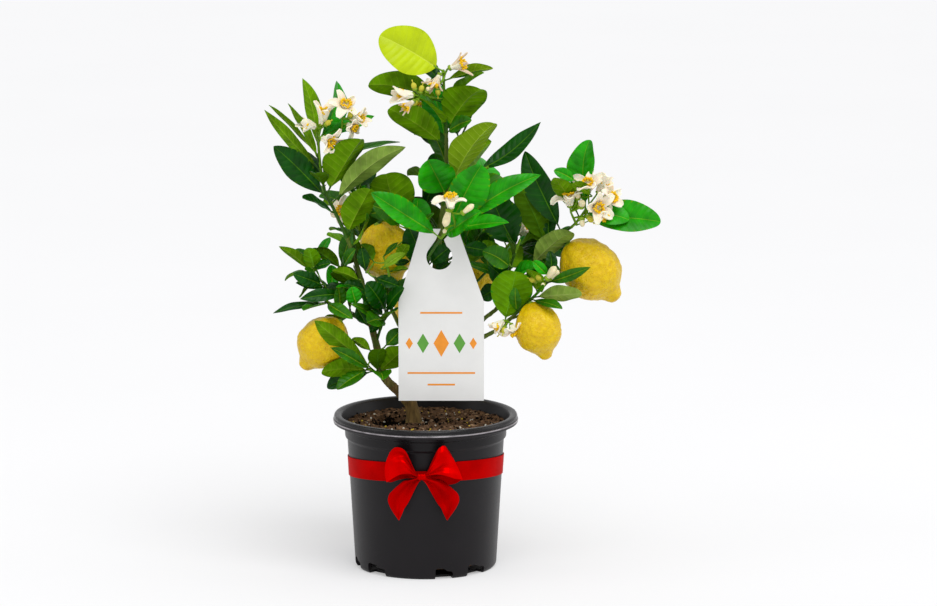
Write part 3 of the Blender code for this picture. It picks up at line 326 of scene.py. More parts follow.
def leaf_finish(tone: Tone, side: str) -> Finish:
    """The finish of one part of a leaf.

    Args:
        tone: the leaf's tone.
        side: upper, under, rib or vein, where a vein is one of the upper side's.

    Returns:
        A gloss for the upper side, and a soft one for the rest.
    """
    upper, under, rib = (screen(*colour) for colour in tone.value)
    vein = tuple(0.82 * blade + 0.18 * line for blade, line in zip(upper, rib))
    colour = {"upper": upper, "under": under, "rib": rib, "vein": vein}[side]
    glossy = side in ("upper", "vein")
    other = tinted(colour, 0.84 if tone in (YOUNG, PALE) else 0.58)
    roughness, depth, gloss = (0.36, 0.03, 0.17) if glossy else (0.5, 0.04, 0.05)
    return Finish(f"leaf_{tone.name.lower()}_{side}", colour, other, patch=17.0, roughness=roughness,
                  swing=0.08, grain=0.5, depth=depth, gloss=gloss)


def plain_finish(name: str, colour: Colour, share: float = 0.75, **rest: float | Point) -> Finish:
    """A finish whose patches are a darker form of its colour.

    Args:
        name: the material's name.
        colour: its screen colour.
        share: how light the patches are.
        **rest: the finish's other values.

    Returns:
        The finish.
    """
    main = screen(*colour)
    return Finish(name, main, tinted(main, share), **rest)


BARK_STRETCH = (1.0, 1.0, 5.0)
OLD_BARK = plain_finish("old_bark", (138, 112, 66), 0.45, patch=3.5, roughness=0.82, swing=0.1, grain=0.7,
                        depth=0.25, stretch=BARK_STRETCH)
YOUNG_BARK = plain_finish("young_bark", (120, 110, 56), 0.5, patch=3.5, roughness=0.75, grain=0.7, depth=0.2,
                          stretch=BARK_STRETCH)
GREEN_WOOD = plain_finish("green_wood", (98, 118, 42), 0.6, patch=4.0, roughness=0.6, depth=0.08,
                          stretch=(1.0, 1.0, 6.0))
GREEN_TWIG = plain_finish("green_twig", (56, 98, 16), 0.7, patch=5.0, roughness=0.45, depth=0.04)
YOUNG_TWIG = plain_finish("young_twig", (116, 162, 26), 0.8, patch=6.0, roughness=0.42)
THORN = plain_finish("thorn", (112, 124, 52), 0.6, patch=3.0, roughness=0.4)
PETAL = plain_finish("petal", (252, 243, 220), 0.86, patch=7.0, roughness=0.45, grain=0.4, glow=0.15)
FADED_PETAL = plain_finish("faded_petal", (236, 214, 184), 0.7, patch=5.0, roughness=0.6, glow=0.1)
BUD = plain_finish("bud", (244, 232, 188), 0.82, patch=4.0, roughness=0.42, glow=0.12)
FRUITLET = plain_finish("fruitlet", (206, 200, 62), 0.8, patch=3.0, roughness=0.4)
FILAMENT = plain_finish("filament", (244, 240, 214), 0.9, patch=3.0)
ANTHER = plain_finish("anther", (252, 206, 24), 0.8, patch=1.0, roughness=0.7, grain=0.2, depth=0.06)
CALYX = plain_finish("calyx", (136, 168, 40), patch=3.0)
RIND = RindFinish("rind", screen(226, 192, 5), screen(214, 174, 3))
# a lighter copy of the rind for the lemon inside the crown: painted light against the shade of the leaves
# over it
RIND_PAINTED_LIGHT = RindFinish("rind_painted_light", screen(255, 218, 6), screen(246, 200, 2))
POT_PLASTIC = plain_finish("pot_plastic", (21, 18, 21), 0.85, patch=30.0, roughness=0.38, grain=0.9)
LIP_PLASTIC = plain_finish("lip_plastic", (20, 18, 20), 0.85, patch=30.0, roughness=0.26, swing=0.08,
                           grain=2.0, depth=0.04, gloss=0.3)
# light grey on a narrow band of the lip: a painted highlight line
RIM_PAINTED_HIGHLIGHT = plain_finish("rim_painted_highlight", (160, 154, 158), 0.4, patch=14.0, roughness=0.3, grain=0.9, depth=0.02,
                        gloss=0.4)
POTTING_MIX = plain_finish("potting_mix", (122, 92, 68), 0.26, patch=5.0, roughness=0.95, swing=0.04,
                           grain=0.9, depth=1.0, gloss=0.1)
# near-black mix: dark crumbs of the mix, and painted shade on the faces in and round the pits
DARK_MIX_AND_SHADE = plain_finish("dark_mix_and_painted_shade", (20, 13, 9), 0.4, patch=4.0, roughness=0.9, grain=0.9, depth=0.4,
                        gloss=0.05)
PEAT_CRUMB = plain_finish("peat_crumb", (108, 80, 58), 0.25, patch=4.0, roughness=0.95, grain=0.5, depth=0.3)
BARK_CHIP = plain_finish("bark_chip", (160, 128, 98), 0.3, patch=2.5, roughness=0.85, grain=0.5, depth=0.2)
PERLITE = plain_finish("perlite", (226, 222, 210), 0.8, patch=1.5, roughness=0.85, grain=0.4, depth=0.2)
FEED_BEAD = plain_finish("feed_bead", (204, 174, 60), patch=1.5)
SATIN = SatinFinish("satin", screen(214, 0, 0), screen(184, 0, 0), roughness=0.42, metal=0.6)
# a darker copy of the loops' satin for the band and tails: painted shade
SATIN_BAND_SHADED = SatinFinish("satin_band_painted_shade", screen(190, 0, 0), screen(166, 0, 0), roughness=0.45, metal=0.25)
# a darker copy of the satin for the inner faces of the loops: painted shade in their hollows
SATIN_INSIDE_SHADED = SatinFinish("satin_inside_painted_shade", screen(176, 0, 0), screen(146, 0, 0), roughness=0.4, swing=0.06,
                           metal=0.5)
CARD = plain_finish("card", (230, 230, 228), 0.97, patch=20.0, roughness=0.42, depth=0.015)
ORANGE_INK = plain_finish("orange_ink", (238, 150, 52), 0.92, patch=6.0, roughness=0.45, depth=0.01)
GREEN_INK = plain_finish("green_ink", (96, 160, 66), 0.92, patch=6.0, roughness=0.45, depth=0.01)
FLOOR = plain_finish("studio_floor", (196, 196, 197), 0.99, patch=400.0, roughness=0.8, grain=2.0,
                     depth=0.01, gloss=0.0, light=0.33)


def piece(obj: bpy.types.Object, nodes: Iterable[str] = ()) -> None:
    """Makes an object part of the plant in its pot.

    Args:
        obj: the object, in its place.
        nodes: the solids that it stands for.
    """
    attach(obj, BODY)
    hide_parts(*nodes)
    log.info("%s: %d faces", obj.name, len(obj.data.polygons))


def placed(name: str, data: bpy.types.ID) -> bpy.types.Object:
    """Puts a new object in the scene.

    Args:
        name: its name.
        data: its mesh, curve, light or camera.

    Returns:
        The object.
    """
    obj = bpy.data.objects.new(name, data)
    bpy.context.scene.collection.objects.link(obj)
    return obj


def final_mesh(obj: bpy.types.Object) -> bpy.types.Mesh:
    """A mesh of what the object looks like, with its modifiers applied."""
    bpy.context.view_layer.update()
    return bpy.data.meshes.new_from_object(obj.evaluated_get(bpy.context.evaluated_depsgraph_get()))


def grid_faces(rows: int, columns: int, wrap: bool = False) -> np.ndarray:
    """The quads of a grid of points that is numbered row by row.

    Args:
        rows: how many rows of points.
        columns: how many points in a row.
        wrap: whether each row closes on itself.

    Returns:
        One row of four point numbers for each quad.
    """
    spots = np.arange(columns if wrap else columns - 1)
    row, column = np.meshgrid(np.arange(rows - 1), spots, indexing="ij")
    near, far, after = row * columns, (row + 1) * columns, (column + 1) % columns
    corners = (near + column, near + after, far + after, far + column)
    return np.stack([corner.ravel() for corner in corners], axis=1)


def capped_faces(rows: int, columns: int) -> list[np.ndarray]:
    """The faces of closed rings, with a point of its own at each end, numbered after the rings.

    Args:
        rows: how many rings.
        columns: how many points in a ring.

    Returns:
        The quads, and the triangles of the two ends.
    """
    start = np.arange(columns)
    after = (start + 1) % columns
    last, tip = (rows - 1) * columns, np.full(columns, rows * columns)
    return [grid_faces(rows, columns, wrap=True), np.stack([after, start, tip], axis=1),
            np.stack([last + start, last + after, tip + 1], axis=1)]


def two_sided(top: np.ndarray, under: np.ndarray) -> tuple[np.ndarray, np.ndarray]:
    """A closed form between two grids of points.

    Args:
        top: the upper grid, rows by columns by three.
        under: the lower one.

    Returns:
        Its points, and its quads: those of the top, of the under side and of the rim.
    """
    rows, columns = top.shape[:2]
    size = rows * columns
    faces = grid_faces(rows, columns)
    number = np.arange(size).reshape(rows, columns)
    rim = np.concatenate([number[0, :-1], number[:-1, -1], number[-1, :0:-1], number[:0:-1, 0]])
    after = np.roll(rim, -1)
    edge = np.stack([after, rim, rim + size, after + size], axis=1)
    points = np.concatenate([top.reshape(-1, 3), under.reshape(-1, 3)])
    return points, np.concatenate([faces, faces[:, ::-1] + size, edge])


def thickened(rows: Sequence[Sequence[Vector]], thick: float) -> tuple[np.ndarray, np.ndarray]:
    """A closed form from a grid of points, with thickness to either side.

    Args:
        rows: its points, row by row.
        thick: the thickness.

    Returns:
        Its points and quads.
    """
    sheet = np.array([[tuple(point) for point in row] for row in rows])
    normal = np.cross(np.gradient(sheet, axis=0), np.gradient(sheet, axis=1))
    normal /= np.maximum(np.linalg.norm(normal, axis=2, keepdims=True), 1e-9)
    return two_sided(sheet + normal * (thick / 2), sheet - normal * (thick / 2))


@dataclass
class Shell:
    """A mesh in the making, in millimetres, whose faces each know their finish."""

    points: list[np.ndarray] = field(default_factory=list)
    faces: list[tuple[np.ndarray, int]] = field(default_factory=list)
    looks: list[Finish] = field(default_factory=list)
    count: int = 0

    def add(self, points: np.ndarray, faces: np.ndarray, look: Finish | Sequence[Finish],
            caps: Iterable[np.ndarray] = ()) -> None:
        """Adds a closed form.

        Args:
            points: one row for each point.
            faces: one row of point numbers for each face.
            look: the finish of all its faces, or of each.
            caps: further faces, in the last of these finishes.
        """
        looks = [look] * len(faces) if isinstance(look, Finish) else look
        numbers = np.array([self.number(one) for one in looks])
        for number in np.unique(numbers):
            self.faces.append((faces[numbers == number] + self.count, int(number)))
        self.faces += [(cap + self.count, self.number(looks[-1])) for cap in caps]
        self.points.append(points)
        self.count += len(points)

    def number(self, look: Finish) -> int:
        """The finish's place among the mesh's materials.

        Args:
            look: the finish, which is added if it is new.

        Returns:
            Its number.
        """
        if look not in self.looks:
            self.looks.append(look)
        return self.looks.index(look)

    def bar(self, route: Sequence[Vector], radii: Sequence[float], look: Finish, sides: int = 8,
            ridges: float = 0.0) -> None:
        """Adds a round bar with blunt ends.

        Args:
            route: points along its middle.
            radii: its radius at each of them.
            look: its finish.
            sides: points in a ring.
            ridges: how far three blunt ridges stand out, as a share of the radius.
        """
        along = [(b - a).normalized() for a, b in zip(route, route[1:])]
        ways = [along[0], *((a + b).normalized() for a, b in zip(along, along[1:])), along[-1]]
        across = ways[0].orthogonal().normalized()
        angles = np.arange(sides) * math.tau / sides
        shape = 1 + ridges * np.cos(3 * angles)
        points = []
        for place, way, radius in zip(route, ways, radii):
            across = (across - way * across.dot(way)).normalized()
            turned = np.outer(np.cos(angles) * shape, across)
            turned = turned + np.outer(np.sin(angles) * shape, way.cross(across))
            points.append(np.array(place) + turned * radius)
        ends = [route[0] - ways[0] * radii[0] * 0.4, route[-1] + ways[-1] * radii[-1] * 0.6]
        quads, *caps = capped_faces(len(route), sides)
        self.add(np.concatenate([*points, np.array(ends)]), quads, look, caps)

    def egg(self, middle: Vector, way: Vector, length: float, width: float, look: Finish, sides: int = 10,
            blunt: float = 1.0) -> None:
        """Adds an egg shape.

        Args:
            middle: its centre.
            way: the direction of its length.
            length: from end to end.
            width: across its middle.
            look: its finish.
            sides: points in a ring.
            blunt: above 1 its middle is fuller.
        """
        steps = [math.pi * (number + 0.5) / 7 for number in range(7)]
        route = [middle - way * math.cos(step) * length / 2 for step in steps]
        self.bar(route, [math.sin(step) ** (1 / blunt) * width / 2 for step in steps], look, sides)

    def build(self, name: str, sharp_deg: float = 50.0) -> bpy.types.Object:
        """Makes the object.

        Args:
            name: its name.
            sharp_deg: edges that turn by more than this look sharp.

        Returns:
            The object, in the scene.
        """
        mesh = bpy.data.meshes.new(name)
        points = np.concatenate(self.points) * MM
        corners = np.concatenate([faces.ravel() for faces, _ in self.faces])
        sizes = np.concatenate([np.full(len(faces), faces.shape[1]) for faces, _ in self.faces])
        numbers = np.concatenate([np.full(len(faces), number) for faces, number in self.faces])
        mesh.vertices.add(len(points))
        mesh.vertices.foreach_set("co", points.astype(np.float32).ravel())
        mesh.loops.add(len(corners))
        mesh.loops.foreach_set("vertex_index", corners.astype(np.int32))
        mesh.polygons.add(len(sizes))
        starts = np.concatenate([[0], np.cumsum(sizes)[:-1]])
        mesh.polygons.foreach_set("loop_start", starts.astype(np.int32))
        mesh.polygons.foreach_set("material_index", numbers.astype(np.int32))
        mesh.update(calc_edges=True)
        mesh.validate()
        for look in self.looks:
            mesh.materials.append(look.material())
        mesh.shade_smooth()
        mesh.set_sharp_from_angle(angle=math.radians(sharp_deg))
        return placed(name, mesh)


def smooth_step(value: float) -> float:
    """0 below 0, 1 above 1, and a smooth rise between them."""
    share = np.clip(value, 0.0, 1.0)
    return share * share * (3 - 2 * share)


@dataclass(frozen=True)
class Leaf:
    """A leaf before it has its place.

    Attributes:
        at: its place along the stem, as a share.
        tip: where it ends.
        width: across its widest place.
        lean: the way its upper side faces: 0 to the sky, 90 to the viewer, -90 away, in degrees.
        turn: how far that swings to the right.
        bend: how far the blade arches, in degrees.
        tone: its colouring.
    """

    at: float
    tip: Point | Vector
    width: float
    lean: float = 60
    turn: float = 0
    bend: float = 15
    tone: Tone = MIXED


@dataclass(frozen=True)
class Fruit:
    """A lemon: where its stalk leaves the stem, as a share, its upper end, its lower end and its width."""

    at: float
    crown: Point
    nipple: Point
    width: float


@dataclass(frozen=True)
class Spray:
    """A mass of foliage that grows from one limb.

    Attributes:
        stem: the route of its stem.
        radius: of the stem where it starts.
        shoots: further routes that start on the stem.
        leaves: the leaves that show.
        fruits: its lemons.
        blooms: pairs of a shoot's number, where 0 is the stem, and the count of flowers that end it.
        twigs: how many twigs the rule adds.
        fill: how many leaves it adds.
        leaf_length: their size.
        reach: the radius of the space that they keep to.
        seed: their draw.
        bright: how often one of them is bright, against 5 for deep and 5 for middling.
    """

    stem: Route
    radius: float
    shoots: tuple[Route, ...] = ()
    leaves: tuple[Leaf, ...] = ()
    fruits: tuple[Fruit, ...] = ()
    blooms: tuple[tuple[int, int], ...] = ()
    twigs: int = 0
    fill: int = 4
    leaf_length: float = 52
    reach: float = 95
    seed: int = 1
    bright: int = 2


# Each limb has its route and its radius at the start and the end.
LIMBS: dict[str, tuple[Route, Span]] = {
    "trunk": (((-13, 0, 161), (-14, 0, 170), (-17, 0, 184)), (8.2, 6.8)),
    "left_bough": (((-17, 0, 179), (-30, -6, 196), (-44, -10, 211), (-50, -11, 230), (-54, -10, 249),
                    (-60, -8, 274), (-65, -6, 298), (-71, -4, 323)), (5.6, 3.0)),
    "leader": (((-17, 0, 179), (-10, 4, 218), (-1, 6, 257), (6, 6, 296), (12, 4, 339), (17, 2, 381),
                (22, 0, 420), (23, 0, 466)), (5.8, 2.2)),
    "right_bough": (((-1, 6, 257), (16, 0, 248), (34, -6, 249), (62, -12, 258), (79, -16, 267)), (3.4, 2.2)),
    "upper_right_bough": (((34, -6, 249), (49, -5, 262), (64, -4, 277), (79, -3, 289), (91, 0, 307),
                           (104, 2, 324)), (2.6, 2.0)),
    "back_bough": (((-12, 3, 206), (-8, 24, 226), (2, 44, 250), (12, 60, 280)), (4.4, 2.8)),
    "back_left_bough": (((-5, 30, 234), (-26, 48, 254), (-42, 62, 284)), (3.0, 2.2)),
}

SPRAYS: dict[str, Spray] = {
    "top_spray": Spray(
        ((23, 0, 466), (23, 0, 488), (21, -2, 520), (20, -4, 553)), 2.2,
        leaves=(
            Leaf(0.98, (-48, -16, 593), 46, 75, 0, 10, YOUNG),
            Leaf(0.57, (-62, -14, 539), 34, -70, 0, 50, MID),
            Leaf(0.86, (74, -6, 558), 20, -40, 0, 20, PALE),
            Leaf(0.24, (60, -30, 539), 48, -85, 20, 20, MID),
            Leaf(0.03, (-39, -30, 515), 36, -65, -10, 25, MID),
            Leaf(0.10, (6, 22, 535), 35, 80, 0, 10, BRIGHT),
        ),
        blooms=((0, 3),), fill=4, leaf_length=58, reach=80, seed=40),
    "upper_spray": Spray(
        ((19, 1, 400), (26, -10, 424), (40, -12, 436), (69, -6, 446)), 1.8,
        leaves=(
            Leaf(0.36, (74, -34, 501), 48, -70, 40, 20, PALE),
            Leaf(1.00, (124, 6, 495), 24, 35, 20, -45, DEEP),
            Leaf(0.22, (3, -26, 457), 42, 85, 0, 15, BRIGHT),
        ),
        fill=3, leaf_length=60, seed=3),
    "front_spray": Spray(
        ((9, 4, 324), (3, -12, 334), (1, -26, 343), (4, -36, 352), (13, -42, 367), (22, -46, 380),
                   (30, -48, 392)), 2.0,
        leaves=(
            Leaf(0.96, (61, -52, 457), 44, 75, 20, 10, BRIGHT),
            Leaf(0.92, (126, -30, 446), 26, 45, 0, 30, BRIGHT),
            Leaf(0.88, (91, -70, 396), 22, 40, 0, 20, BRIGHT),
            Leaf(0.77, (-58, -62, 427), 29, 55, 0, 35, BRIGHT),
            Leaf(0.24, (-18, -24, 383), 33, 70, 0, 20, DEEP),
            Leaf(0.80, (57, -74, 412), 26, 60, 0, 20, BRIGHT),
        ),
        blooms=((0, 3),), fill=0, seed=1),
    "upper_left_spray": Spray(
        ((-71, -4, 323), (-80, -6, 352), (-89, -8, 375), (-101, -10, 402), (-110, -12, 422),
                       (-115, -14, 455), (-117, -16, 486)), 2.7,
        shoots=(((-74, -4, 334), (-78, 6, 363), (-81, 12, 390), (-76, 14, 412)),),
        leaves=(
            Leaf(0.59, (-71, -30, 483), 48, -80, 20, 15, MID),
            Leaf(0.52, (-21, -26, 473), 29, -60, 0, 40, DULL),
            Leaf(0.77, (-28, 2, 470), 20, 40, 0, 20, MID),
            Leaf(0.56, (-163, -10, 472), 30, 55, -20, -15, DEEP),
            Leaf(0.74, (-177, 14, 504), 18, -60, 0, 10, MID),
            Leaf(0.84, (-170, 34, 509), 13, -50, 0, 10, MID),
            Leaf(0.80, (-149, -34, 520), 16, -60, -40, 15, MID),
            Leaf(0.87, (-132, -10, 541), 21, -75, -20, 10, MID),
            Leaf(0.93, (-94, 30, 535), 33, 70, 0, 20, BRIGHT),
            Leaf(0.96, (-55, 16, 502), 17, 50, 0, 20, BRIGHT),
            Leaf(0.29, (-60, -30, 425), 37, -75, 20, 20, MID),
        ),
        blooms=((0, 5),), fill=7, leaf_length=55, reach=110, seed=5),
    "inner_upper_spray": Spray(
        ((6, 6, 296), (3, 8, 328), (-8, 8, 358), (-24, 10, 380), (-42, 14, 394)), 1.8,
        leaves=(
            Leaf(0.80, (-43, -10, 440), 50, -80, 0, 15, MID),
            Leaf(0.62, (-8, 20, 408), 33, 60, 0, 15, BRIGHT),
        ),
        fruits=(Fruit(1.0, (-53, 26, 378), (-33, 32, 310), 62),),
        fill=5, leaf_length=48, reach=80, seed=6),
    "left_spray": Spray(
        ((-61, -8, 270), (-81, -12, 283), (-99, -14, 293), (-109, -14, 299)), 1.6,
        shoots=(((-88, -13, 287), (-100, -8, 303), (-110, -4, 314), (-125, -2, 330)),),
        leaves=(
            Leaf(0.94, (-167, -26, 289), 14, 25, 0, 20, DEEP),
            Leaf(0.82, (-137, -34, 307), 17, -55, 0, 15, MID),
            Leaf(0.98, (-160, -10, 360), 14, -50, 0, 10, MID),
            Leaf(0.90, (-128, -14, 360), 19, -80, 0, 5, BRIGHT),
        ),
        fruits=(Fruit(0.4, (-93, -22, 278), (-135, -26, 226), 54),),
        fill=9, leaf_length=42, reach=75, seed=32),
    "left_upper_spray": Spray(
        ((-65, -6, 300), (-76, -2, 311), (-86, 0, 322), (-93, 2, 333)), 1.4,
        leaves=(
            Leaf(0.92, (-123, -8, 358), 18, -50, 0, 40, MID),
            Leaf(0.28, (-101, -26, 336), 24, -65, 0, 30, DEEP),
        ),
        fill=7, leaf_length=40, reach=60, seed=39),
    "lower_left_spray": Spray(
        ((-46, -10, 214), (-56, -20, 221), (-64, -26, 226)), 1.6,
        leaves=(
            Leaf(0.48, (-119, -56, 289), 22, -60, 0, 20, MID),
            Leaf(0.73, (-101, -44, 256), 15, 60, 0, 15, MID),
            Leaf(0.77, (-114, -40, 227), 25, -70, 0, 15, MID),
            Leaf(0.67, (-108, -14, 202), 25, 50, 0, 15, DEEP),
            Leaf(0.40, (-20, -52, 252), 28, -70, 0, 15, MID),
        ),
        fill=3, leaf_length=45, reach=60, seed=49),
    "inner_spray": Spray(
        ((-54, -10, 252), (-49, -16, 269), (-43, -20, 285), (-39, -22, 306), (-39, -22, 326),
                       (-43, -20, 343)), 1.6,
        leaves=(
            Leaf(0.19, (-79, -44, 303), 15, 40, 0, 40, MID),
            Leaf(0.41, (-64, -50, 326), 26, 60, 0, 20, DEEP),
            Leaf(0.32, (-63, -36, 282), 24, 60, 0, 20, MID),
        ),
        fill=12, leaf_length=42, reach=70, seed=28),
    "upper_right_spray": Spray(
        ((104, 2, 324), (118, 2, 339), (131, 0, 356), (148, -2, 370), (164, -4, 383),
                              (176, -8, 400)), 1.9,
        leaves=(
            Leaf(0.99, (175, 6, 476), 38, 75, -20, 10, BRIGHT),
            Leaf(1.00, (258, -16, 389), 37, 60, 0, 20, BRIGHT),
            Leaf(0.88, (140, -30, 442), 23, -60, 0, 50, MID),
            Leaf(0.63, (107, 0, 462), 32, 70, -20, 15, DEEP),
            Leaf(0.42, (100, -14, 429), 32, -80, 10, 10, DEEP),
            Leaf(0.13, (160, -20, 380), 32, -65, 0, 20, DULL),
        ),
        fruits=(Fruit(0.5, (156, -2, 360), (211, -6, 299), 64),),
        blooms=((0, 6),), fill=3, leaf_length=50, reach=90, seed=19),
    "middle_right_spray": Spray(
        ((88, -1, 302), (92, -4, 329), (97, -4, 347), (104, -2, 365)), 1.5,
        leaves=(
            Leaf(0.83, (73, 10, 412), 44, 75, 0, 10, DEEP),
            Leaf(0.25, (71, -26, 341), 29, 60, 0, 30, DEEP),
            Leaf(0.28, (41, -34, 344), 15, 40, 0, 20, MID),
        ),
        fill=5, leaf_length=48, reach=75, seed=29),
    "lower_right_spray": Spray(
        ((79, -16, 267), (93, -20, 280), (106, -24, 293), (119, -26, 306), (132, -26, 320),
                        (141, -26, 330)), 2.1,
        leaves=(
            Leaf(0.12, (99, -40, 340), 46, -80, 0, 10, BRIGHT),
            Leaf(0.62, (171, -44, 314), 24, -60, 0, 15, DULL),
            Leaf(0.86, (179, -42, 346), 13, 50, 0, 20, MID),
        ),
        fruits=(Fruit(0.5, (115, -31, 300), (133, -36, 238), 51),),
        blooms=((0, 2),), fill=6, leaf_length=36, reach=70, seed=16, bright=0),
    "back_spray": Spray(
        ((12, 60, 280), (22, 70, 320), (26, 72, 362), (30, 66, 404)), 2.5,
        fruits=(Fruit(0.4, (50, 92, 336), (56, 104, 272), 56),),
        twigs=5, fill=22, leaf_length=62, reach=115, seed=11),
    "back_left_spray": Spray(
        ((-42, 62, 284), (-60, 68, 318), (-72, 68, 356), (-80, 60, 396)), 2.0,
        fruits=(Fruit(0.1, (-18, 90, 296), (0, 98, 240), 52),),
        blooms=((0, 3),), twigs=4, fill=18, leaf_length=58, reach=100, seed=27),
    "back_right_spray": Spray(
        ((6, 51, 265), (36, 62, 288), (68, 66, 318), (98, 62, 356)), 2.1,
        blooms=((0, 3),), twigs=4, fill=18, leaf_length=58, reach=100, seed=40),
    "back_top_spray": Spray(
        ((22, 0, 430), (24, 20, 448), (20, 36, 474), (10, 44, 506)), 1.6,
        blooms=((0, 3),), twigs=3, fill=13, leaf_length=58, reach=85, seed=35),
}


# The leaves that show and that only this model has: root on a finer twig, tip, width, lean and tone.
FINER: dict[str, tuple[tuple[Point, Point, float, float, Tone], ...]] = {
    "left_spray": (
        ((-111, -18, 317), (-142, -30, 334), 17, 65, DEEP),
        ((-108, -12, 313), (-141, -18, 323), 13, 50, DEEP),
        ((-87, -16, 307), (-136, -30, 306), 15, 65, DEEP),
        ((-110, -22, 299), (-79, -34, 288), 16, 50, MID),
        ((-124, -10, 335), (-104, -20, 343), 14, 40, DEEP),
    ),
    "left_upper_spray": (
        ((-93, -6, 335), (-123, -14, 358), 14, -50, DEEP),
        ((-70, -24, 323), (-101, -36, 337), 15, -50, MID),
        ((-81, -2, 340), (-96, -8, 360), 15, 50, DEEP),
        ((-63, -20, 310), (-88, -30, 321), 15, 40, DEEP),
    ),
    "inner_spray": (
        ((-43, -30, 291), (-78, -42, 303), 11, -50, MID),
        ((-48, -32, 338), (-23, -44, 358), 12, 50, PALE),
        ((-45, -28, 314), (-18, -40, 308), 14, 60, MID),
        ((-56, -14, 342), (-69, -8, 362), 18, -40, DEEP),
        ((-36, -26, 300), (-17, -34, 317), 13, 40, DEEP),
        ((-30, -30, 345), (-19, -36, 367), 13, -50, MID),
        ((-54, -20, 283), (-58, -24, 263), 15, 60, DEEP),
        ((-65, -14, 330), (-70, -12, 358), 14, 60, DEEP),
        ((-53, -22, 320), (-66, -30, 302), 14, 60, DEEP),
        ((-75, -26, 296), (-80, -38, 318), 18, 70, BRIGHT),
        ((-77, -18, 295), (-65, -24, 276), 14, 60, DEEP),
        ((-44, -24, 288), (-23, -30, 321), 19, 60, DEEP),
        ((-43, -30, 288), (-30, -33, 302), 13, 50, MID),
        ((-57, -16, 326), (-29, -20, 319), 15, 60, DEEP),
    ),
    "inner_upper_spray": (
        ((-46, -12, 348), (-30, -18, 365), 7, 50, MID),
        ((-15, -14, 344), (-33, -20, 341), 9, 50, DEEP),
        ((-39, -16, 332), (-18, -22, 338), 8, -60, MID),
    ),
    "front_spray": (
        ((5, -18, 341), (26, -22, 360), 20, 60, DEEP),
        ((23, -10, 333), (6, -14, 353), 19, 50, MID),
        ((29, -16, 343), (12, -20, 332), 15, 60, DEEP),
    ),
    "middle_right_spray": (
        ((40, -20, 361), (69, -30, 357), 18, 60, DEEP),
        ((95, -32, 339), (64, -44, 360), 25, 60, MID),
        ((121, -28, 334), (51, -36, 340), 16, 55, DEEP),
        ((82, -20, 317), (61, -24, 302), 20, 60, DEEP),
    ),
    "lower_right_spray": (
        ((135, -32, 330), (118, -36, 347), 12, 60, BRIGHT),
        ((112, -24, 284), (88, -30, 283), 13, 60, MID),
    ),
    "upper_right_spray": (
        ((165, -22, 433), (141, -32, 447), 14, 60, BRIGHT),
        ((182, -24, 417), (161, -32, 435), 15, -60, MID),
    ),
    "lower_left_spray": (
        ((-58, -30, 245), (-80, -36, 262), 14, -50, MID),
        ((-45, -24, 249), (-26, -29, 269), 18, 60, MID),
        ((-46, -26, 232), (-14, -29, 246), 20, -60, DULL),
    ),
}


@dataclass(frozen=True)
class GrowthSizes:
    """The ranges and sizes of the growing rule, in millimetres, degrees and shares of a leaf's length."""

    clearance: float = 0.8
    stalk_share: float = 0.12
    stalk_r: float = 0.8
    blade_sections: tuple[float, ...] = (0.36, 0.74)
    broad_sections: tuple[float, ...] = (0.3, 0.58, 0.84)
    broad: float = 32.0
    leaf_thick: float = 0.012
    cup_deg: float = 14.0
    fruit_rings: tuple[Span, ...] = (
        (0.0, 0.2), (0.07, 0.5), (0.24, 0.87), (0.46, 1.0), (0.68, 0.86), (0.84, 0.45), (0.93, 0.25),
        (1.0, 0.12))
    fruit_steps: int = 10
    fruit_stalk_radii: Span = (1.3, 1.6)
    twig_radii: Span = (1.2, 0.8)
    finer_radii: Span = (0.9, 0.7)
    sprout_radii: Span = (0.9, 0.55)
    tip_r: float = 0.9
    bloom_r: float = 12.0
    bloom_depth: float = 7.0
    bloom_stalk: float = 15.0
    bloom_stalk_radii: Span = (0.8, 0.8)
    harvest_room: float = 12.0
    twig_open: Span = (40, 58)
    twig_length: Span = (0.7, 1.1)
    twig_rise: float = 0.25
    fill_open: Span = (38, 66)
    fill_length: Span = (0.72, 1.12)
    fill_rise: Span = (-0.15, 0.25)
    fill_lean: Span = (10, 60)
    fill_turn: Span = (-50, 50)
    fill_width: Span = (0.42, 0.58)
    fill_bend: Span = (5, 35)
    fill_rounds: int = 7
    fill_tries: int = 14


RULE = GrowthSizes()


def tapered(radii: Span, count: int) -> list[float]:
    """The radius at each of that many places along a bar, from its radius at the start and the end."""
    return [radii[0] + (radii[1] - radii[0]) * i / (count - 1) for i in range(count)]


@dataclass(frozen=True)
class Stem:
    """A grown stem, twig or stalk: its route, and its radius at the start and the end."""

    route: list[Vector]
    radii: Span


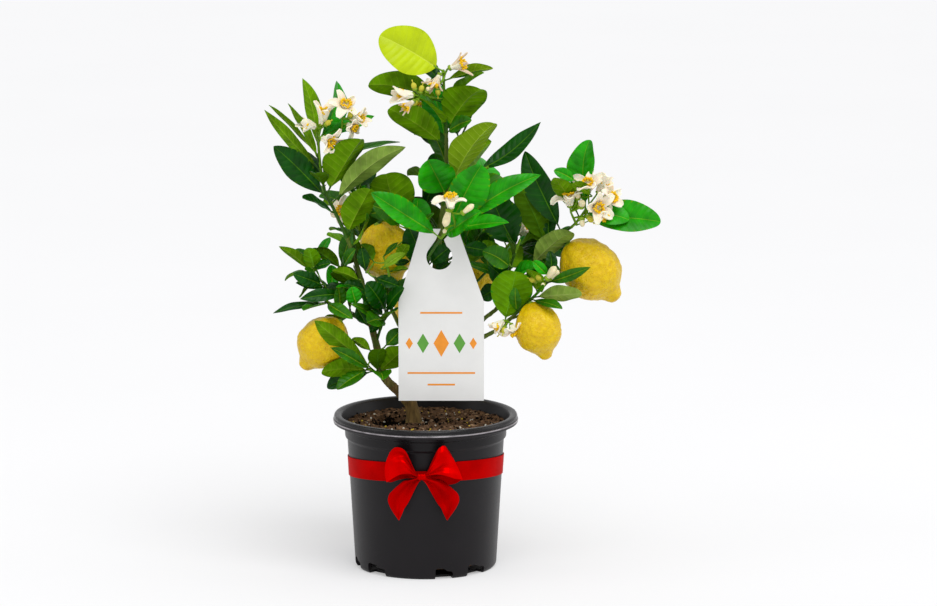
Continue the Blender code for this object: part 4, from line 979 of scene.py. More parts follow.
@dataclass(frozen=True)
class GrownLeaf:
    """A leaf in its place: its root, its tip, its width, its two axes, its bend and its tone."""

    root: Vector
    tip: Vector
    width: float
    side: Vector
    face: Vector
    bend: float
    tone: Tone

    def line(self, steps: Iterable[float]) -> list[Vector]:
        """Points from root to tip along an arch, highest on the upper side.

        Args:
            steps: the points' shares of the way.

        Returns:
            The points.
        """
        chord = self.tip - self.root
        bend = math.radians(self.bend)
        if abs(bend) < 1e-3:
            return [self.root + chord * s for s in steps]
        along = chord.normalized()
        radius = chord.length / 2 / math.sin(bend / 2)
        made = []
        for s in steps:
            angle = bend * (s - 0.5)
            out = chord * 0.5 + along * radius * math.sin(angle)
            made.append(self.root + out + self.face * radius * (math.cos(angle) - math.cos(bend / 2)))
        return made

    def solids(self) -> tuple[Shape, Shape]:
        """The plain leaf that the rule tests for room.

        Returns:
            Its cupped blade, and its stalk, whose root is in the twig.
        """
        sections = RULE.broad_sections if self.width > RULE.broad else RULE.blade_sections
        stalk = RULE.stalk_share
        line = self.line((0.0, stalk, *(stalk + (1 - stalk) * s for s in sections), 1.0))
        thick = max((self.tip - self.root).length * RULE.leaf_thick, 0.7) / 2 + RULE.clearance
        cup = math.radians(RULE.cup_deg)
        points = []
        for number, middle in enumerate(line[:-1]):
            if number < 2:
                half, lift, tall = RULE.stalk_r + RULE.clearance, 0.0, RULE.stalk_r + RULE.clearance
            else:
                share = sections[number - 2]
                half = self.width / 2 * (4 * share * (1 - share)) ** 0.55 + RULE.clearance
                lift, tall = half * math.sin(cup), thick
            across = self.side * half * (math.cos(cup) if lift else 1.0)
            points += [middle - across + self.face * lift, middle + self.face * tall,
                       middle + across + self.face * lift, middle - self.face * tall]
        last = len(points)
        points.append(line[-1])
        faces = [(3, 2, 1, 0), *ring_faces(last // 4, 4)]
        faces += [(last - 4 + a, last - 4 + (a + 1) % 4, last) for a in range(4)]
        blade = points[4:], [tuple(i - 4 for i in face) for face in faces if min(face) >= 4]
        return blade, (points[:8], [face for face in faces if max(face) < 8])


def ring_faces(rings: int, sides: int) -> list[tuple[int, ...]]:
    """The quads between rings of points, numbered ring by ring."""
    return [(low + step, low + (step + 1) % sides, low + sides + (step + 1) % sides, low + sides + step)
            for low in range(0, (rings - 1) * sides, sides) for step in range(sides)]


def prism_faces(count: int) -> list[tuple[int, ...]]:
    """The faces of a prism, whose two outlines of that many points follow each other."""
    return [tuple(range(count))[::-1], tuple(range(count, 2 * count)), *ring_faces(2, count)]


def spread(route: Iterable[Point | Vector], count: int) -> list[Vector]:
    """A smooth curve through a route's points.

    Args:
        route: the points.
        count: how many points for each stretch between two of them.

    Returns:
        The curve's points.
    """
    points = [Vector(p) for p in route]
    ends = [2 * points[0] - points[1], *points, 2 * points[-1] - points[-2]]
    curve = []
    for a, b, c, d in zip(ends, ends[1:], ends[2:], ends[3:]):
        for i in range(count):
            t = i / count
            curve.append(0.5 * (2 * b + (c - a) * t + (2 * a - 5 * b + 4 * c - d) * t * t
                                + (3 * b - a - 3 * c + d) * t * t * t))
    return [*curve, points[-1]]


def point_at(route: Sequence[Vector], share: float) -> tuple[Vector, Vector]:
    """The point, and the direction there, at a share of the route's length.

    Args:
        route: its points.
        share: from 0 at its start to 1 at its end.

    Returns:
        The point and the direction.
    """
    lengths = [(b - a).length for a, b in zip(route, route[1:])]
    left = share * sum(lengths)
    for (a, b), length in zip(zip(route, route[1:]), lengths):
        if left <= length:
            break
        left -= length
    return a.lerp(b, min(1.0, left / length)), (b - a).normalized()


def heart_of(routes: Sequence[Sequence[Vector]]) -> Vector:
    """The middle of the space round some stems."""
    return sum((point_at(route, 0.6)[0] for route in routes), Vector()) / len(routes)


def outward(along: Vector, round_deg: float, open_deg: float) -> Vector:
    """A direction beside a stem.

    Args:
        along: the stem's direction.
        round_deg: the place round it.
        open_deg: how far it opens from the stem.

    Returns:
        The direction.
    """
    turn = spin(math.radians(round_deg), along)
    return spin(math.radians(open_deg), turn @ along.orthogonal()) @ along


def leaf_axes(direction: Vector, lean: float, turn: float) -> tuple[Vector, Vector]:
    """The axes of a leaf that grows in a direction.

    Args:
        direction: from root to tip.
        lean: the way its upper side faces, in degrees.
        turn: how far that swings to the right.

    Returns:
        The axis across the blade, and the way its upper side faces.
    """
    lean, turn = math.radians(lean), math.radians(turn)
    side = (spin(turn, "Z") @ Vector((0, -math.sin(lean), math.cos(lean)))).cross(direction)
    if side.length < 1e-3:
        side = direction.orthogonal()
    side.normalize()
    return side, direction.cross(side).normalized()


def fruit_points(fruit: Fruit) -> Shape:
    """The plain lemon that the rule tests for room.

    Args:
        fruit: its sizes.

    Returns:
        Its points and faces.
    """
    crown = Vector(fruit.crown)
    along = Vector(fruit.nipple) - crown
    across = along.orthogonal().normalized()
    steps = RULE.fruit_steps
    points = [crown + along * share + spin(math.tau * step / steps, along) @ across * wide * fruit.width / 2
              for share, wide in RULE.fruit_rings for step in range(steps)]
    top = len(points) - steps
    return points, [tuple(range(steps))[::-1], *ring_faces(len(RULE.fruit_rings), steps),
                    tuple(range(top, top + steps))]


def tube_points(route: Sequence[Vector], radii: Span, sides: int = 4, room: float = RULE.clearance) -> Shape:
    """The plain tapering bar that the rule tests for room.

    Args:
        route: its points.
        radii: its radius at the start and the end.
        sides: of its section.
        room: the clearance round it.

    Returns:
        Its points and faces.
    """
    points = []
    for i, (place, radius) in enumerate(zip(route, tapered(radii, len(route)))):
        along = route[min(i + 1, len(route) - 1)] - route[max(i - 1, 0)]
        across = along.orthogonal().normalized()
        points += [place + spin(math.tau * step / sides, along) @ across * (radius + room)
                   for step in range(sides)]
    return points, ring_faces(len(route), sides)


def ball(points: Sequence[Vector]) -> tuple[Vector, float]:
    """The middle of some points, and how far they reach from it."""
    centre = sum(points, Vector()) / len(points)
    return centre, max((point - centre).length for point in points)


class Crowd:
    """What has been placed so far, to test new growth against."""

    def __init__(self) -> None:
        """Starts with nothing placed."""
        self.things: list[tuple[Vector, float, BVHTree, str, bool]] = []
        self.hearts: list[tuple[Vector, float]] = []

    def add(self, shape: Shape, mass: str = "", blade: bool = False) -> None:
        """Keeps a shape.

        Args:
            shape: its points and faces.
            mass: the mass of foliage that it belongs to.
            blade: whether it is a leaf's blade.
        """
        self.things.append((*ball(shape[0]), BVHTree.FromPolygons(*shape), mass, blade))

    def is_free(self, shape: Shape, own: str | None = None, blades_too: bool = False) -> bool:
        """Whether a shape meets nothing.

        Args:
            shape: its points and faces.
            own: a mass whose stems it may meet.
            blades_too: whether it may meet that mass's blades as well.

        Returns:
            True if it is clear.
        """
        centre, reach = ball(shape[0])
        tree = None
        for other, size, there, mass, blade in self.things:
            if mass == own and (blades_too or not blade):
                continue
            if (other - centre).length > reach + size:
                continue
            tree = tree or BVHTree.FromPolygons(*shape)
            if tree.overlap(there):
                return False
        return not any((point - heart).length < size for heart, size in self.hearts for point in shape[0])

    def hides_fruit(self, place: Vector) -> bool:
        """Whether a leaf would stand before a fruit, which the rule leaves in view.

        Args:
            place: its middle.

        Returns:
            True if it would.
        """
        return any(place.y < heart.y
                   and math.hypot(place.x - heart.x, place.z - heart.z) < size + RULE.harvest_room
                   for heart, size in self.hearts)


def settle_steps() -> list[Point]:
    """The changes that a leaf may take to clear others.

    Returns:
        The changes of its lean, its turn and its depth, the smallest first.
    """
    steps = [(lean, turn, depth)
             for lean in (0, 15, -15, 30, -30, 50, -50)
             for turn in (0, 20, -20, 40, -40)
             for depth in (0, -8, 8, -16, 16, -26, 26)]
    return sorted(steps, key=lambda step: abs(step[0]) / 15 + abs(step[1]) / 20 + abs(step[2]) / 10)


SETTLE = settle_steps()


@dataclass
class Growth:
    """Grows every stem, twig, leaf, fruit and bloom, each clear of the others, by the part's own rule.

    Attributes:
        tag: the hang tag's board, which the leaves keep clear of.
        sprout_length: the size of the leaves on the finer twigs, which only this model has.
        sprout_front: the rule's finer twigs keep behind this, where the photo shows none of them.
        sprout_tips: their leaves' tips keep behind this.
    """

    tag: Shape
    sprout_length: Span = (26.0, 40.0)
    sprout_front: float = -20.0
    sprout_tips: float = -32.0
    crowd: Crowd = field(default_factory=Crowd)
    limbs: dict[str, Stem] = field(default_factory=dict)
    stems: dict[str, list[Stem]] = field(default_factory=lambda: {name: [] for name in SPRAYS})
    leaves: dict[str, list[GrownLeaf]] = field(default_factory=lambda: {name: [] for name in SPRAYS})
    blooms: dict[str, list[tuple[Vector, Vector]]] = field(
        default_factory=lambda: {name: [] for name in SPRAYS})

    def grow(self) -> None:
        """Grows the whole plant, each step in all masses before the next."""
        for name, (route, radii) in LIMBS.items():
            self.limbs[name] = Stem(spread(route, 2), radii)
            self.crowd.add(tube_points(self.limbs[name].route, radii, 6))
        self.crowd.add(self.tag)
        for step in (self.set_frame, self.set_blooms, self.set_leaves, self.fill, self.set_finer,
                     self.sprout):
            for name, spray in SPRAYS.items():
                step(name, spray)

    def add_stem(self, name: str, route: list[Vector], radii: Span) -> None:
        """Keeps a stem and its room.

        Args:
            name: the mass.
            route: the stem's points.
            radii: its radius at the start and the end.
        """
        self.stems[name].append(Stem(route, radii))
        self.crowd.add(tube_points(route, radii), name)

    def set_frame(self, name: str, spray: Spray) -> None:
        """Sets the stem, its shoots, and the fruit with its stalks.

        Args:
            name: the mass.
            spray: its sizes.
        """
        for route in (spray.stem, *spray.shoots):
            radius = spray.radius if route is spray.stem else spray.radius * 0.7
            self.add_stem(name, spread(route, 2), (radius, RULE.tip_r))
        for fruit in spray.fruits:
            start, _ = point_at(self.stems[name][0].route, fruit.at)
            crown, nipple = Vector(fruit.crown), Vector(fruit.nipple)
            middle = start.lerp(crown, 0.5) + rise(2)
            route = [start, middle, crown, crown.lerp(nipple, 0.06)]
            self.stems[name].append(Stem(route, RULE.fruit_stalk_radii))
            self.crowd.add(tube_points([start, middle, crown], RULE.fruit_stalk_radii), name)
            self.crowd.add(fruit_points(fruit))
            self.crowd.hearts.append((crown.lerp(nipple, 0.47), fruit.width * 0.42))

    def set_blooms(self, name: str, spray: Spray) -> None:
        """Sets blossom on stalks that fan out round the end of a shoot.

        Args:
            name: the mass.
            spray: its sizes.
        """
        for shoot, count in spray.blooms:
            route = self.stems[name][shoot].route
            along = point_at(route, 1.0)[1]
            for number in range(count):
                way = outward(along, GOLDEN_DEG * number, 25 + 60 * number / max(1, count))
                way = (way + Vector((0, -0.35, 0.1))).normalized()
                start = point_at(route, 1.0 - 0.05 * number)[0]
                length = RULE.bloom_stalk * (1 + 0.25 * (number % 3))
                bell = tube_points([start + way * length * 0.8, start + way * (length + RULE.bloom_depth)],
                                   (RULE.bloom_r * 0.2, RULE.bloom_r * 0.9), 5, 0.0)
                line = [start, start + way * length]
                stalk = tube_points(line, RULE.bloom_stalk_radii)
                if all(self.crowd.is_free(shape, name, blades_too=True) for shape in (bell, stalk)):
                    self.crowd.add(bell)
                    self.crowd.add(stalk, name)
                    self.stems[name].append(Stem(line, RULE.bloom_stalk_radii))
                    self.blooms[name].append((start + way * (length - 3.0), way))

    def place(self, name: str, root: Vector, leaf: Leaf, steps: Iterable[Point], own: str | None = None
              ) -> bool:
        """Turns a leaf on its stalk until it is clear of all the rest, and keeps it.

        Args:
            name: the mass.
            root: where its stalk starts.
            leaf: its sizes.
            steps: the changes that it may take.
            own: a mass whose stems its blade may cross.

        Returns:
            False if it never is clear.
        """
        for more_lean, more_turn, depth in steps:
            tip = Vector(leaf.tip) + Vector((0, depth, 0))
            axes = leaf_axes((tip - root).normalized(), leaf.lean + more_lean, leaf.turn + more_turn)
            grown = GrownLeaf(root, tip, leaf.width, *axes, leaf.bend, leaf.tone)
            blade, stalk = grown.solids()
            if self.crowd.is_free(blade, own) and self.crowd.is_free(stalk, name, blades_too=True):
                self.crowd.add(blade, name, blade=True)
                self.crowd.add(stalk, name)
                self.leaves[name].append(grown)
                return True
        return False

    def set_leaves(self, name: str, spray: Spray) -> None:
        """Sets the leaves that show.

        Args:
            name: the mass.
            spray: its sizes.
        """
        stems = self.stems[name][:1 + len(spray.shoots)]
        for leaf in spray.leaves:
            tip = Vector(leaf.tip)
            spots = [point_at(stem.route, leaf.at)[0] for stem in stems]
            self.place(name, min(spots, key=lambda spot: (spot - tip).length), leaf, SETTLE, name)

    def fill(self, name: str, spray: Spray) -> None:
        """Adds the rule's twigs and leaves, in turn round each stem, inside the space of the mass.

        Args:
            name: the mass.
            spray: its sizes.
        """
        draw = random.Random(spray.seed)
        routes = [stem.route for stem in self.stems[name][:1 + len(spray.shoots)]]
        heart = heart_of(routes)
        for number in range(spray.twigs):
            start, along = point_at(routes[0], 0.2 + 0.7 * (number + 0.5) / spray.twigs)
            out = outward(along, number * GOLDEN_DEG + draw.uniform(-20, 20), draw.uniform(*RULE.twig_open))
            way = (out + rise(RULE.twig_rise)).normalized()
            end = start + way * spray.leaf_length * draw.uniform(*RULE.twig_length)
            route = spread((start, start.lerp(end, 0.5) + rise(-2), end), 2)
            if self.has_room(name, route, RULE.twig_radii):
                self.add_stem(name, route, RULE.twig_radii)
                routes.append(route)
        grown, tries = 0, 0
        while grown < spray.fill and tries < spray.fill * RULE.fill_rounds:
            share = 0.2 + 0.8 * ((tries // len(routes)) * 0.31 % 1.0)
            root, along = point_at(routes[tries % len(routes)], share)
            out = outward(along, tries * GOLDEN_DEG + draw.uniform(-15, 15), draw.uniform(*RULE.fill_open))
            length = spray.leaf_length * draw.uniform(*RULE.fill_length)
            tip = root + (out + rise(draw.uniform(*RULE.fill_rise))).normalized() * length
            lean, turn = draw.uniform(*RULE.fill_lean), draw.uniform(*RULE.fill_turn)
            if tip.y > heart.y + 5:
                lean = -lean
            width, bend = length * draw.uniform(*RULE.fill_width), draw.uniform(*RULE.fill_bend)
            tries += 1
            if (tip - heart).length <= spray.reach and not self.crowd.hides_fruit(root.lerp(tip, 0.6)):
                leaf = Leaf(share, tip, width, lean, turn, bend)
                grown += self.place(name, root, leaf, SETTLE[:RULE.fill_tries])

    def has_room(self, name: str, route: list[Vector], radii: Span) -> bool:
        """Whether a twig fits: clear of all but the stem that it starts in.

        Args:
            name: the mass.
            route: the twig's points.
            radii: its radius at the start and the end.

        Returns:
            True if it does.
        """
        return (self.crowd.is_free(tube_points(route[1:], radii))
                and self.crowd.is_free(tube_points(route, radii), name))

    def set_finer(self, name: str, _: Spray) -> None:
        """Sets the further leaves that show, each on a finer twig from the nearest stem.

        Args:
            name: the mass.
            _: its sizes, which only the other steps use.
        """
        for root, tip, width, lean, tone in FINER.get(name, ()):
            root = Vector(root)
            spots = [spot for stem in self.stems[name] if stem.radii != RULE.bloom_stalk_radii
                     for spot in spread(stem.route, 3)]
            start = min(spots, key=lambda spot: (spot - root).length)
            if self.place(name, root, Leaf(0, tip, width, lean, 0, 20, tone), SETTLE, name):
                route = spread((start, start.lerp(root, 0.5) + rise(-1), root), 2)
                self.add_stem(name, route, RULE.finer_radii)

    def sprout(self, name: str, spray: Spray) -> None:
        """Carries the rule on to finer twigs, each with a few young leaves, within the same reach.

        Args:
            name: the mass.
            spray: its sizes.
        """
        draw = random.Random(spray.seed + SPROUT_SEED)
        routes = [stem.route for stem in self.stems[name]
                  if stem.radii[0] > 1.0 and stem.radii != RULE.fruit_stalk_radii]
        heart = heart_of(routes)
        for number in range(3 * len(routes)):
            start, along = point_at(routes[number % len(routes)], draw.uniform(0.45, 1.0))
            out = outward(along, number * GOLDEN_DEG, draw.uniform(25, 55))
            end = start + (out + rise(0.3)).normalized() * draw.uniform(12, 24)
            route = spread((start, start.lerp(end, 0.5) + rise(-1), end), 2)
            is_inside = (end - heart).length <= spray.reach and end.y >= self.sprout_front
            if not is_inside or self.crowd.hides_fruit(end):
                continue
            if not self.has_room(name, route, RULE.sprout_radii):
                continue
            self.add_stem(name, route, RULE.sprout_radii)
            for share in (0.55, 0.8, 1.0):
                root, along = point_at(route, share)
                out = outward(along, draw.uniform(0, 360), draw.uniform(20, 50))
                tip = root + (out + rise(0.15)).normalized() * draw.uniform(*self.sprout_length)
                width = (tip - root).length * draw.uniform(0.34, 0.46)
                tone = draw.choices((BRIGHT, MID, DEEP), (2, 4, 4))[0]
                young = Leaf(share, tip, width, draw.uniform(10, 60), draw.uniform(-40, 40), 20, tone)
                is_inside = tip.y > self.sprout_tips and (tip - heart).length <= spray.reach
                if is_inside and not self.crowd.hides_fruit(tip):
                    self.place(name, root, young, SETTLE[:6])


@dataclass
class LeafMaker:
    """Dresses a grown leaf: a stalk, and a quilted blade whose side veins are strips of their own.

    Attributes:
        leaves: the mass's leaves.
        stalks: the mass's twigs, which take the leaf's stalk.
        draw: its seeded numbers.
        across: places across the blade, from margin to margin, with the midrib at 0.
        rib_stand: how far the midrib stands out underneath.
        fold: how steeply the two halves rise from the midrib, and flatten is how far they level out again.
        quilt: how far the blade bulges between its side veins, and slant is how far those run to the tip.
        young_wide: how much wider the newest leaves are than the rule's.
        card: the hang tag's left and right, foot and top, and back.
        stalk: the stalk's places as shares of the leaf, how far each sinks, and its radius.
    """

    leaves: Shell
    stalks: Shell
    draw: random.Random
    across: tuple[float, ...] = (-1, -0.8, -0.58, -0.36, -0.16, -0.01, 0, 0.01, 0.16, 0.36, 0.58, 0.8, 1)
    rib_half: float = 0.75
    rib_end: float = 0.2
    rib_stand: float = 0.6
    thick: float = 0.45
    fold: Span = (0.12, 0.62)
    flatten: float = 0.34
    curl: Span = (-0.02, 0.10)
    sway: float = 0.035
    quilt: float = 1.1
    wave: float = 0.07
    vein_gap: float = 8.0
    vein_half: float = 0.24
    slant: float = 0.5
    young_wide: float = 1.12
    card: tuple[float, float, float, float, float] = (-31.0, 66.0, 190.0, 384.0, -36.0)
    stalk: Route = ((0.0, 0, 1.25), (0.02, 0, 1.15), (0.05, 0.2, 0.85), (0.09, 0.6, 0.8), (0.115, 0.8, 1.05),
                    (0.13, 1, 0.95), (0.16, 1, 0.5))

    def rows(self, length: float) -> list[np.ndarray]:
        """Where the rows of the blade meet the midrib.

        Args:
            length: the blade's.

        Returns:
            The rows' shares, how far each bulges, and whether a vein fills the strip after it.
        """
        veins = max(4, round(length / self.vein_gap))
        gap = 1.0 / (veins + 0.6)
        half = self.vein_half / length
        rows = [(0.0, 0.0, False), (0.03, 0.3, False)]
        for number in range(veins):
            middle = gap * (number + 0.7)
            rows += [(middle - half, 0.0, True), (middle + half, 0.0, False),
                     (middle + gap * 0.33, 1.0, False), (middle + gap * 0.67, 1.0, False)]
        rows += [(1 - (1 - rows[-1][0]) * left, 0.3 * left, False) for left in (0.62, 0.36, 0.18, 0.07)]
        return [np.array(part) for part in zip(*rows, (1.0, 0.0, False))]

    def add(self, leaf: GrownLeaf) -> None:
        """Adds a leaf to its mass.

        Args:
            leaf: the leaf.
        """
        draw = self.draw
        length = (leaf.tip - leaf.root).length * (1 - RULE.stalk_share)
        shares, bulges, veined = self.rows(length)
        row, spot = np.meshgrid(shares, np.array(self.across), indexing="ij")
        edge = np.abs(spot)
        along = row + self.slant * row * (1 - row) * edge ** 1.15
        blunt = min(1.0, max(0.0, (leaf.width / length - 0.28) / 0.24))
        base, end = draw.uniform(0.66, 0.8), 0.84 - 0.36 * blunt + draw.uniform(-0.06, 0.06)
        outline = np.sin(np.pi * along ** draw.uniform(0.94, 1.14)).clip(0) ** (base + (end - base) * along)
        wide = leaf.width * (self.young_wide if leaf.tone is YOUNG else 1.0)
        half = np.maximum(wide / 2 * outline, 0.35 + 0.4 * (1 - along))
        rib = self.rib_half + (self.rib_end - self.rib_half) * along
        y = np.where(edge == 0.01, np.sign(spot) * np.minimum(rib, half * 0.14), spot * half)
        z = half * draw.uniform(*self.fold) * (edge - self.flatten * spot ** 2)
        z = z - length * draw.uniform(*self.curl) * ((along - 0.5).clip(0) * 2) ** 2
        y = y + length * draw.uniform(-self.sway, self.sway) * 4 * along * (1 - along)
        bulge = bulges[:, None] * np.minimum(1, edge * 5) * (1 - edge ** 4)
        z = z + self.quilt * draw.uniform(0.5, 1.2) * (bulge - 0.5) * (1 - row) ** 0.3
        for sign in (-1, 1):
            turns, phase = draw.uniform(1.2, 2.4), draw.uniform(0, math.tau)
            swing = self.wave * half * np.sin(math.tau * turns * along + phase) * edge ** 3
            z = z + np.where(np.sign(spot) == sign, swing, 0)
        lower = np.where(spot == 0, self.rib_stand * (1 - 0.75 * along), 0) + self.thick * (1 - edge ** 6)
        upper = np.where(spot == 0, -0.2 * (1 - along), 0)
        middle, side, up = self.axes(leaf, along, draw.uniform(-9, 9))
        top, under = (self.pressed(middle + side * y[..., None] + up * height[..., None], leaf)
                      for height in (z + upper, z - lower))
        points, faces = two_sided(top, under)
        self.leaves.add(points, faces, self.looks(leaf.tone, veined, len(faces)))
        self.add_stalk(leaf)

    @staticmethod
    def axes(leaf: GrownLeaf, along: np.ndarray, twist_deg: float
             ) -> tuple[np.ndarray, np.ndarray, np.ndarray]:
        """The blade's middle line and its two axes, at each of its points.

        Args:
            leaf: the leaf.
            along: the points' shares of the blade.
            twist_deg: how far the blade turns from its start to its tip.

        Returns:
            The place on the middle line, the axis across and the axis up, for each point.
        """
        chord = np.array(leaf.tip - leaf.root)
        size = np.linalg.norm(chord)
        forward, side, face = chord / size, np.array(leaf.side), np.array(leaf.face)
        bend = math.radians(leaf.bend if abs(leaf.bend) > 0.5 else 0.5)
        radius = size / 2 / math.sin(bend / 2)
        angle = bend * (RULE.stalk_share + (1 - RULE.stalk_share) * along - 0.5)[..., None]
        middle = (np.array(leaf.root) + chord * 0.5 + forward * radius * np.sin(angle)
                  + face * radius * (np.cos(angle) - math.cos(bend / 2)))
        up = face * np.cos(angle) + forward * np.sin(angle)
        twist = np.radians(twist_deg) * (along[..., None] - 0.3)
        return middle, side * np.cos(twist) + up * np.sin(twist), up * np.cos(twist) - side * np.sin(twist)

    def pressed(self, points: np.ndarray, leaf: GrownLeaf) -> np.ndarray:
        """The points of a leaf, kept from coming through the hang tag's card where it is behind it.

        Args:
            points: of one side of the blade, changed in place.
            leaf: the leaf.

        Returns:
            The points.
        """
        left, right, low, top, back = self.card
        x, y, z = points[..., 0], points[..., 1], points[..., 2]
        if min(leaf.root.y, leaf.tip.y) > back - 1:
            behind = (x > left) & (x < right) & (z > low) & (z < top)
            points[..., 1] = np.where(behind, np.maximum(y, back), y)
        return points

    def looks(self, tone: Tone, veined: np.ndarray, count: int) -> list[Finish]:
        """The finish of each face of a blade: the upper side, the under side and the margin.

        Args:
            tone: the leaf's.
            veined: whether a vein fills the strip after each row.
            count: how many faces it has.

        Returns:
            The finishes.
        """
        rib, upper, vein, lower = (leaf_finish(tone, side) for side in ("rib", "upper", "vein", "under"))
        spots = range(len(self.across) - 1)
        ribs = (len(spots) // 2 - 1, len(spots) // 2)
        looks = [rib if spot in ribs else vein if flag else upper for flag in veined[:-1] for spot in spots]
        looks += [rib if spot in ribs or flag else lower for flag in veined[:-1] for spot in spots]
        return looks + [lower] * (count - len(looks))

    def add_stalk(self, leaf: GrownLeaf) -> None:
        """Adds the leaf's stalk, with a swelling at each end.

        Args:
            leaf: the leaf.
        """
        shares, sinks, radii = zip(*self.stalk)
        route = [place - leaf.face * 0.5 * sink for place, sink in zip(leaf.line(shares), sinks)]
        size = min(1.0, 0.55 + (leaf.tip - leaf.root).length / 120)
        look = YOUNG_TWIG if leaf.tone in (YOUNG, PALE, BRIGHT) else GREEN_TWIG
        self.stalks.bar(route, [radius * size for radius in radii], look)


@dataclass
class LemonMaker:
    """Dresses a lemon: a lumpy rind, furrows at its neck, a nipple, and the star of its calyx."""

    shell: Shell
    draw: random.Random
    sides: int = 96
    lump: float = 0.06
    furrow: float = 0.1
    furrows: int = 7
    profile: tuple[Span, ...] = (
        (0.0, 0.17), (0.03, 0.34), (0.08, 0.52), (0.15, 0.7), (0.25, 0.87), (0.36, 0.97), (0.48, 1.0),
        (0.6, 0.97), (0.72, 0.83), (0.81, 0.6), (0.87, 0.41), (0.93, 0.3), (0.975, 0.22), (1.0, 0.1))

    def add(self, fruit: Fruit, rind: Finish) -> None:
        """Adds a lemon to its mass.

        Args:
            fruit: its sizes.
            rind: its finish.
        """
        crown, nipple = Vector(fruit.crown), Vector(fruit.nipple)
        along = (nipple - crown).normalized()
        across = along.orthogonal().normalized()
        other = along.cross(across)
        profile = spread([(share, wide, 0.0) for share, wide in self.profile], 8)
        angles = np.arange(self.sides) * math.tau / self.sides
        phase, offset = self.draw.uniform(0, math.tau), Vector([self.draw.uniform(0, 90) for _ in range(3)])
        points = []
        for share, wide, _ in profile:
            neck, end = math.exp(-share / 0.15), math.exp(-(1 - share) / 0.1)
            swing = neck * np.cos(self.furrows * angles + phase) + 0.6 * end * np.cos(5 * angles)
            swing = self.furrow * swing
            for angle, dent in zip(angles, swing):
                way = across * math.cos(angle) + other * math.sin(angle)
                spot = crown + along * fruit.width * 1.25 * share + way * wide * fruit.width / 2 + offset
                lumps = noise.noise(spot / 16) + 0.6 * noise.noise(spot / 6) + 0.4 * noise.noise(spot / 2.4)
                radius = wide * fruit.width / 2 * (1 + dent + self.lump * lumps)
                points.append(crown + (nipple - crown) * share + way * radius)
        points += [crown + along * 1.5, nipple - along * 0.4]
        quads, *caps = capped_faces(len(profile), self.sides)
        self.shell.add(np.array(points, dtype=float).reshape(-1, 3), quads, rind, caps)
        self.shell.egg(crown + along * 0.3, along, 3.2, fruit.width * 0.13, CALYX, blunt=2.0)
        for lobe in range(5):
            way = spin(math.tau * lobe / 5, along) @ across
            self.shell.egg(crown + way * fruit.width * 0.07 + along * 0.9, (way + along * 0.5).normalized(),
                           fruit.width * 0.1, 2.6, CALYX, sides=6)


class Stage(Enum):
    """How far a flower has come."""

    OPEN = "open"
    HALF = "half"
    DROOP = "droop"
    FADED = "faded"
    BUD = "bud"
    PEARL = "pearl"
    FRUITLET = "fruitlet"


@dataclass(frozen=True)
class Bloom:
    """A flower that shows: where its cup sits, how far it has come, the way it faces and its size."""

    at: Point
    stage: Stage
    way: Point
    size: float = 1.0


@dataclass(frozen=True)
class Sprig:
    """A spray of blossom that shows: its stalk's route from the stem, and its flowers."""

    route: Route
    blooms: tuple[Bloom, ...]


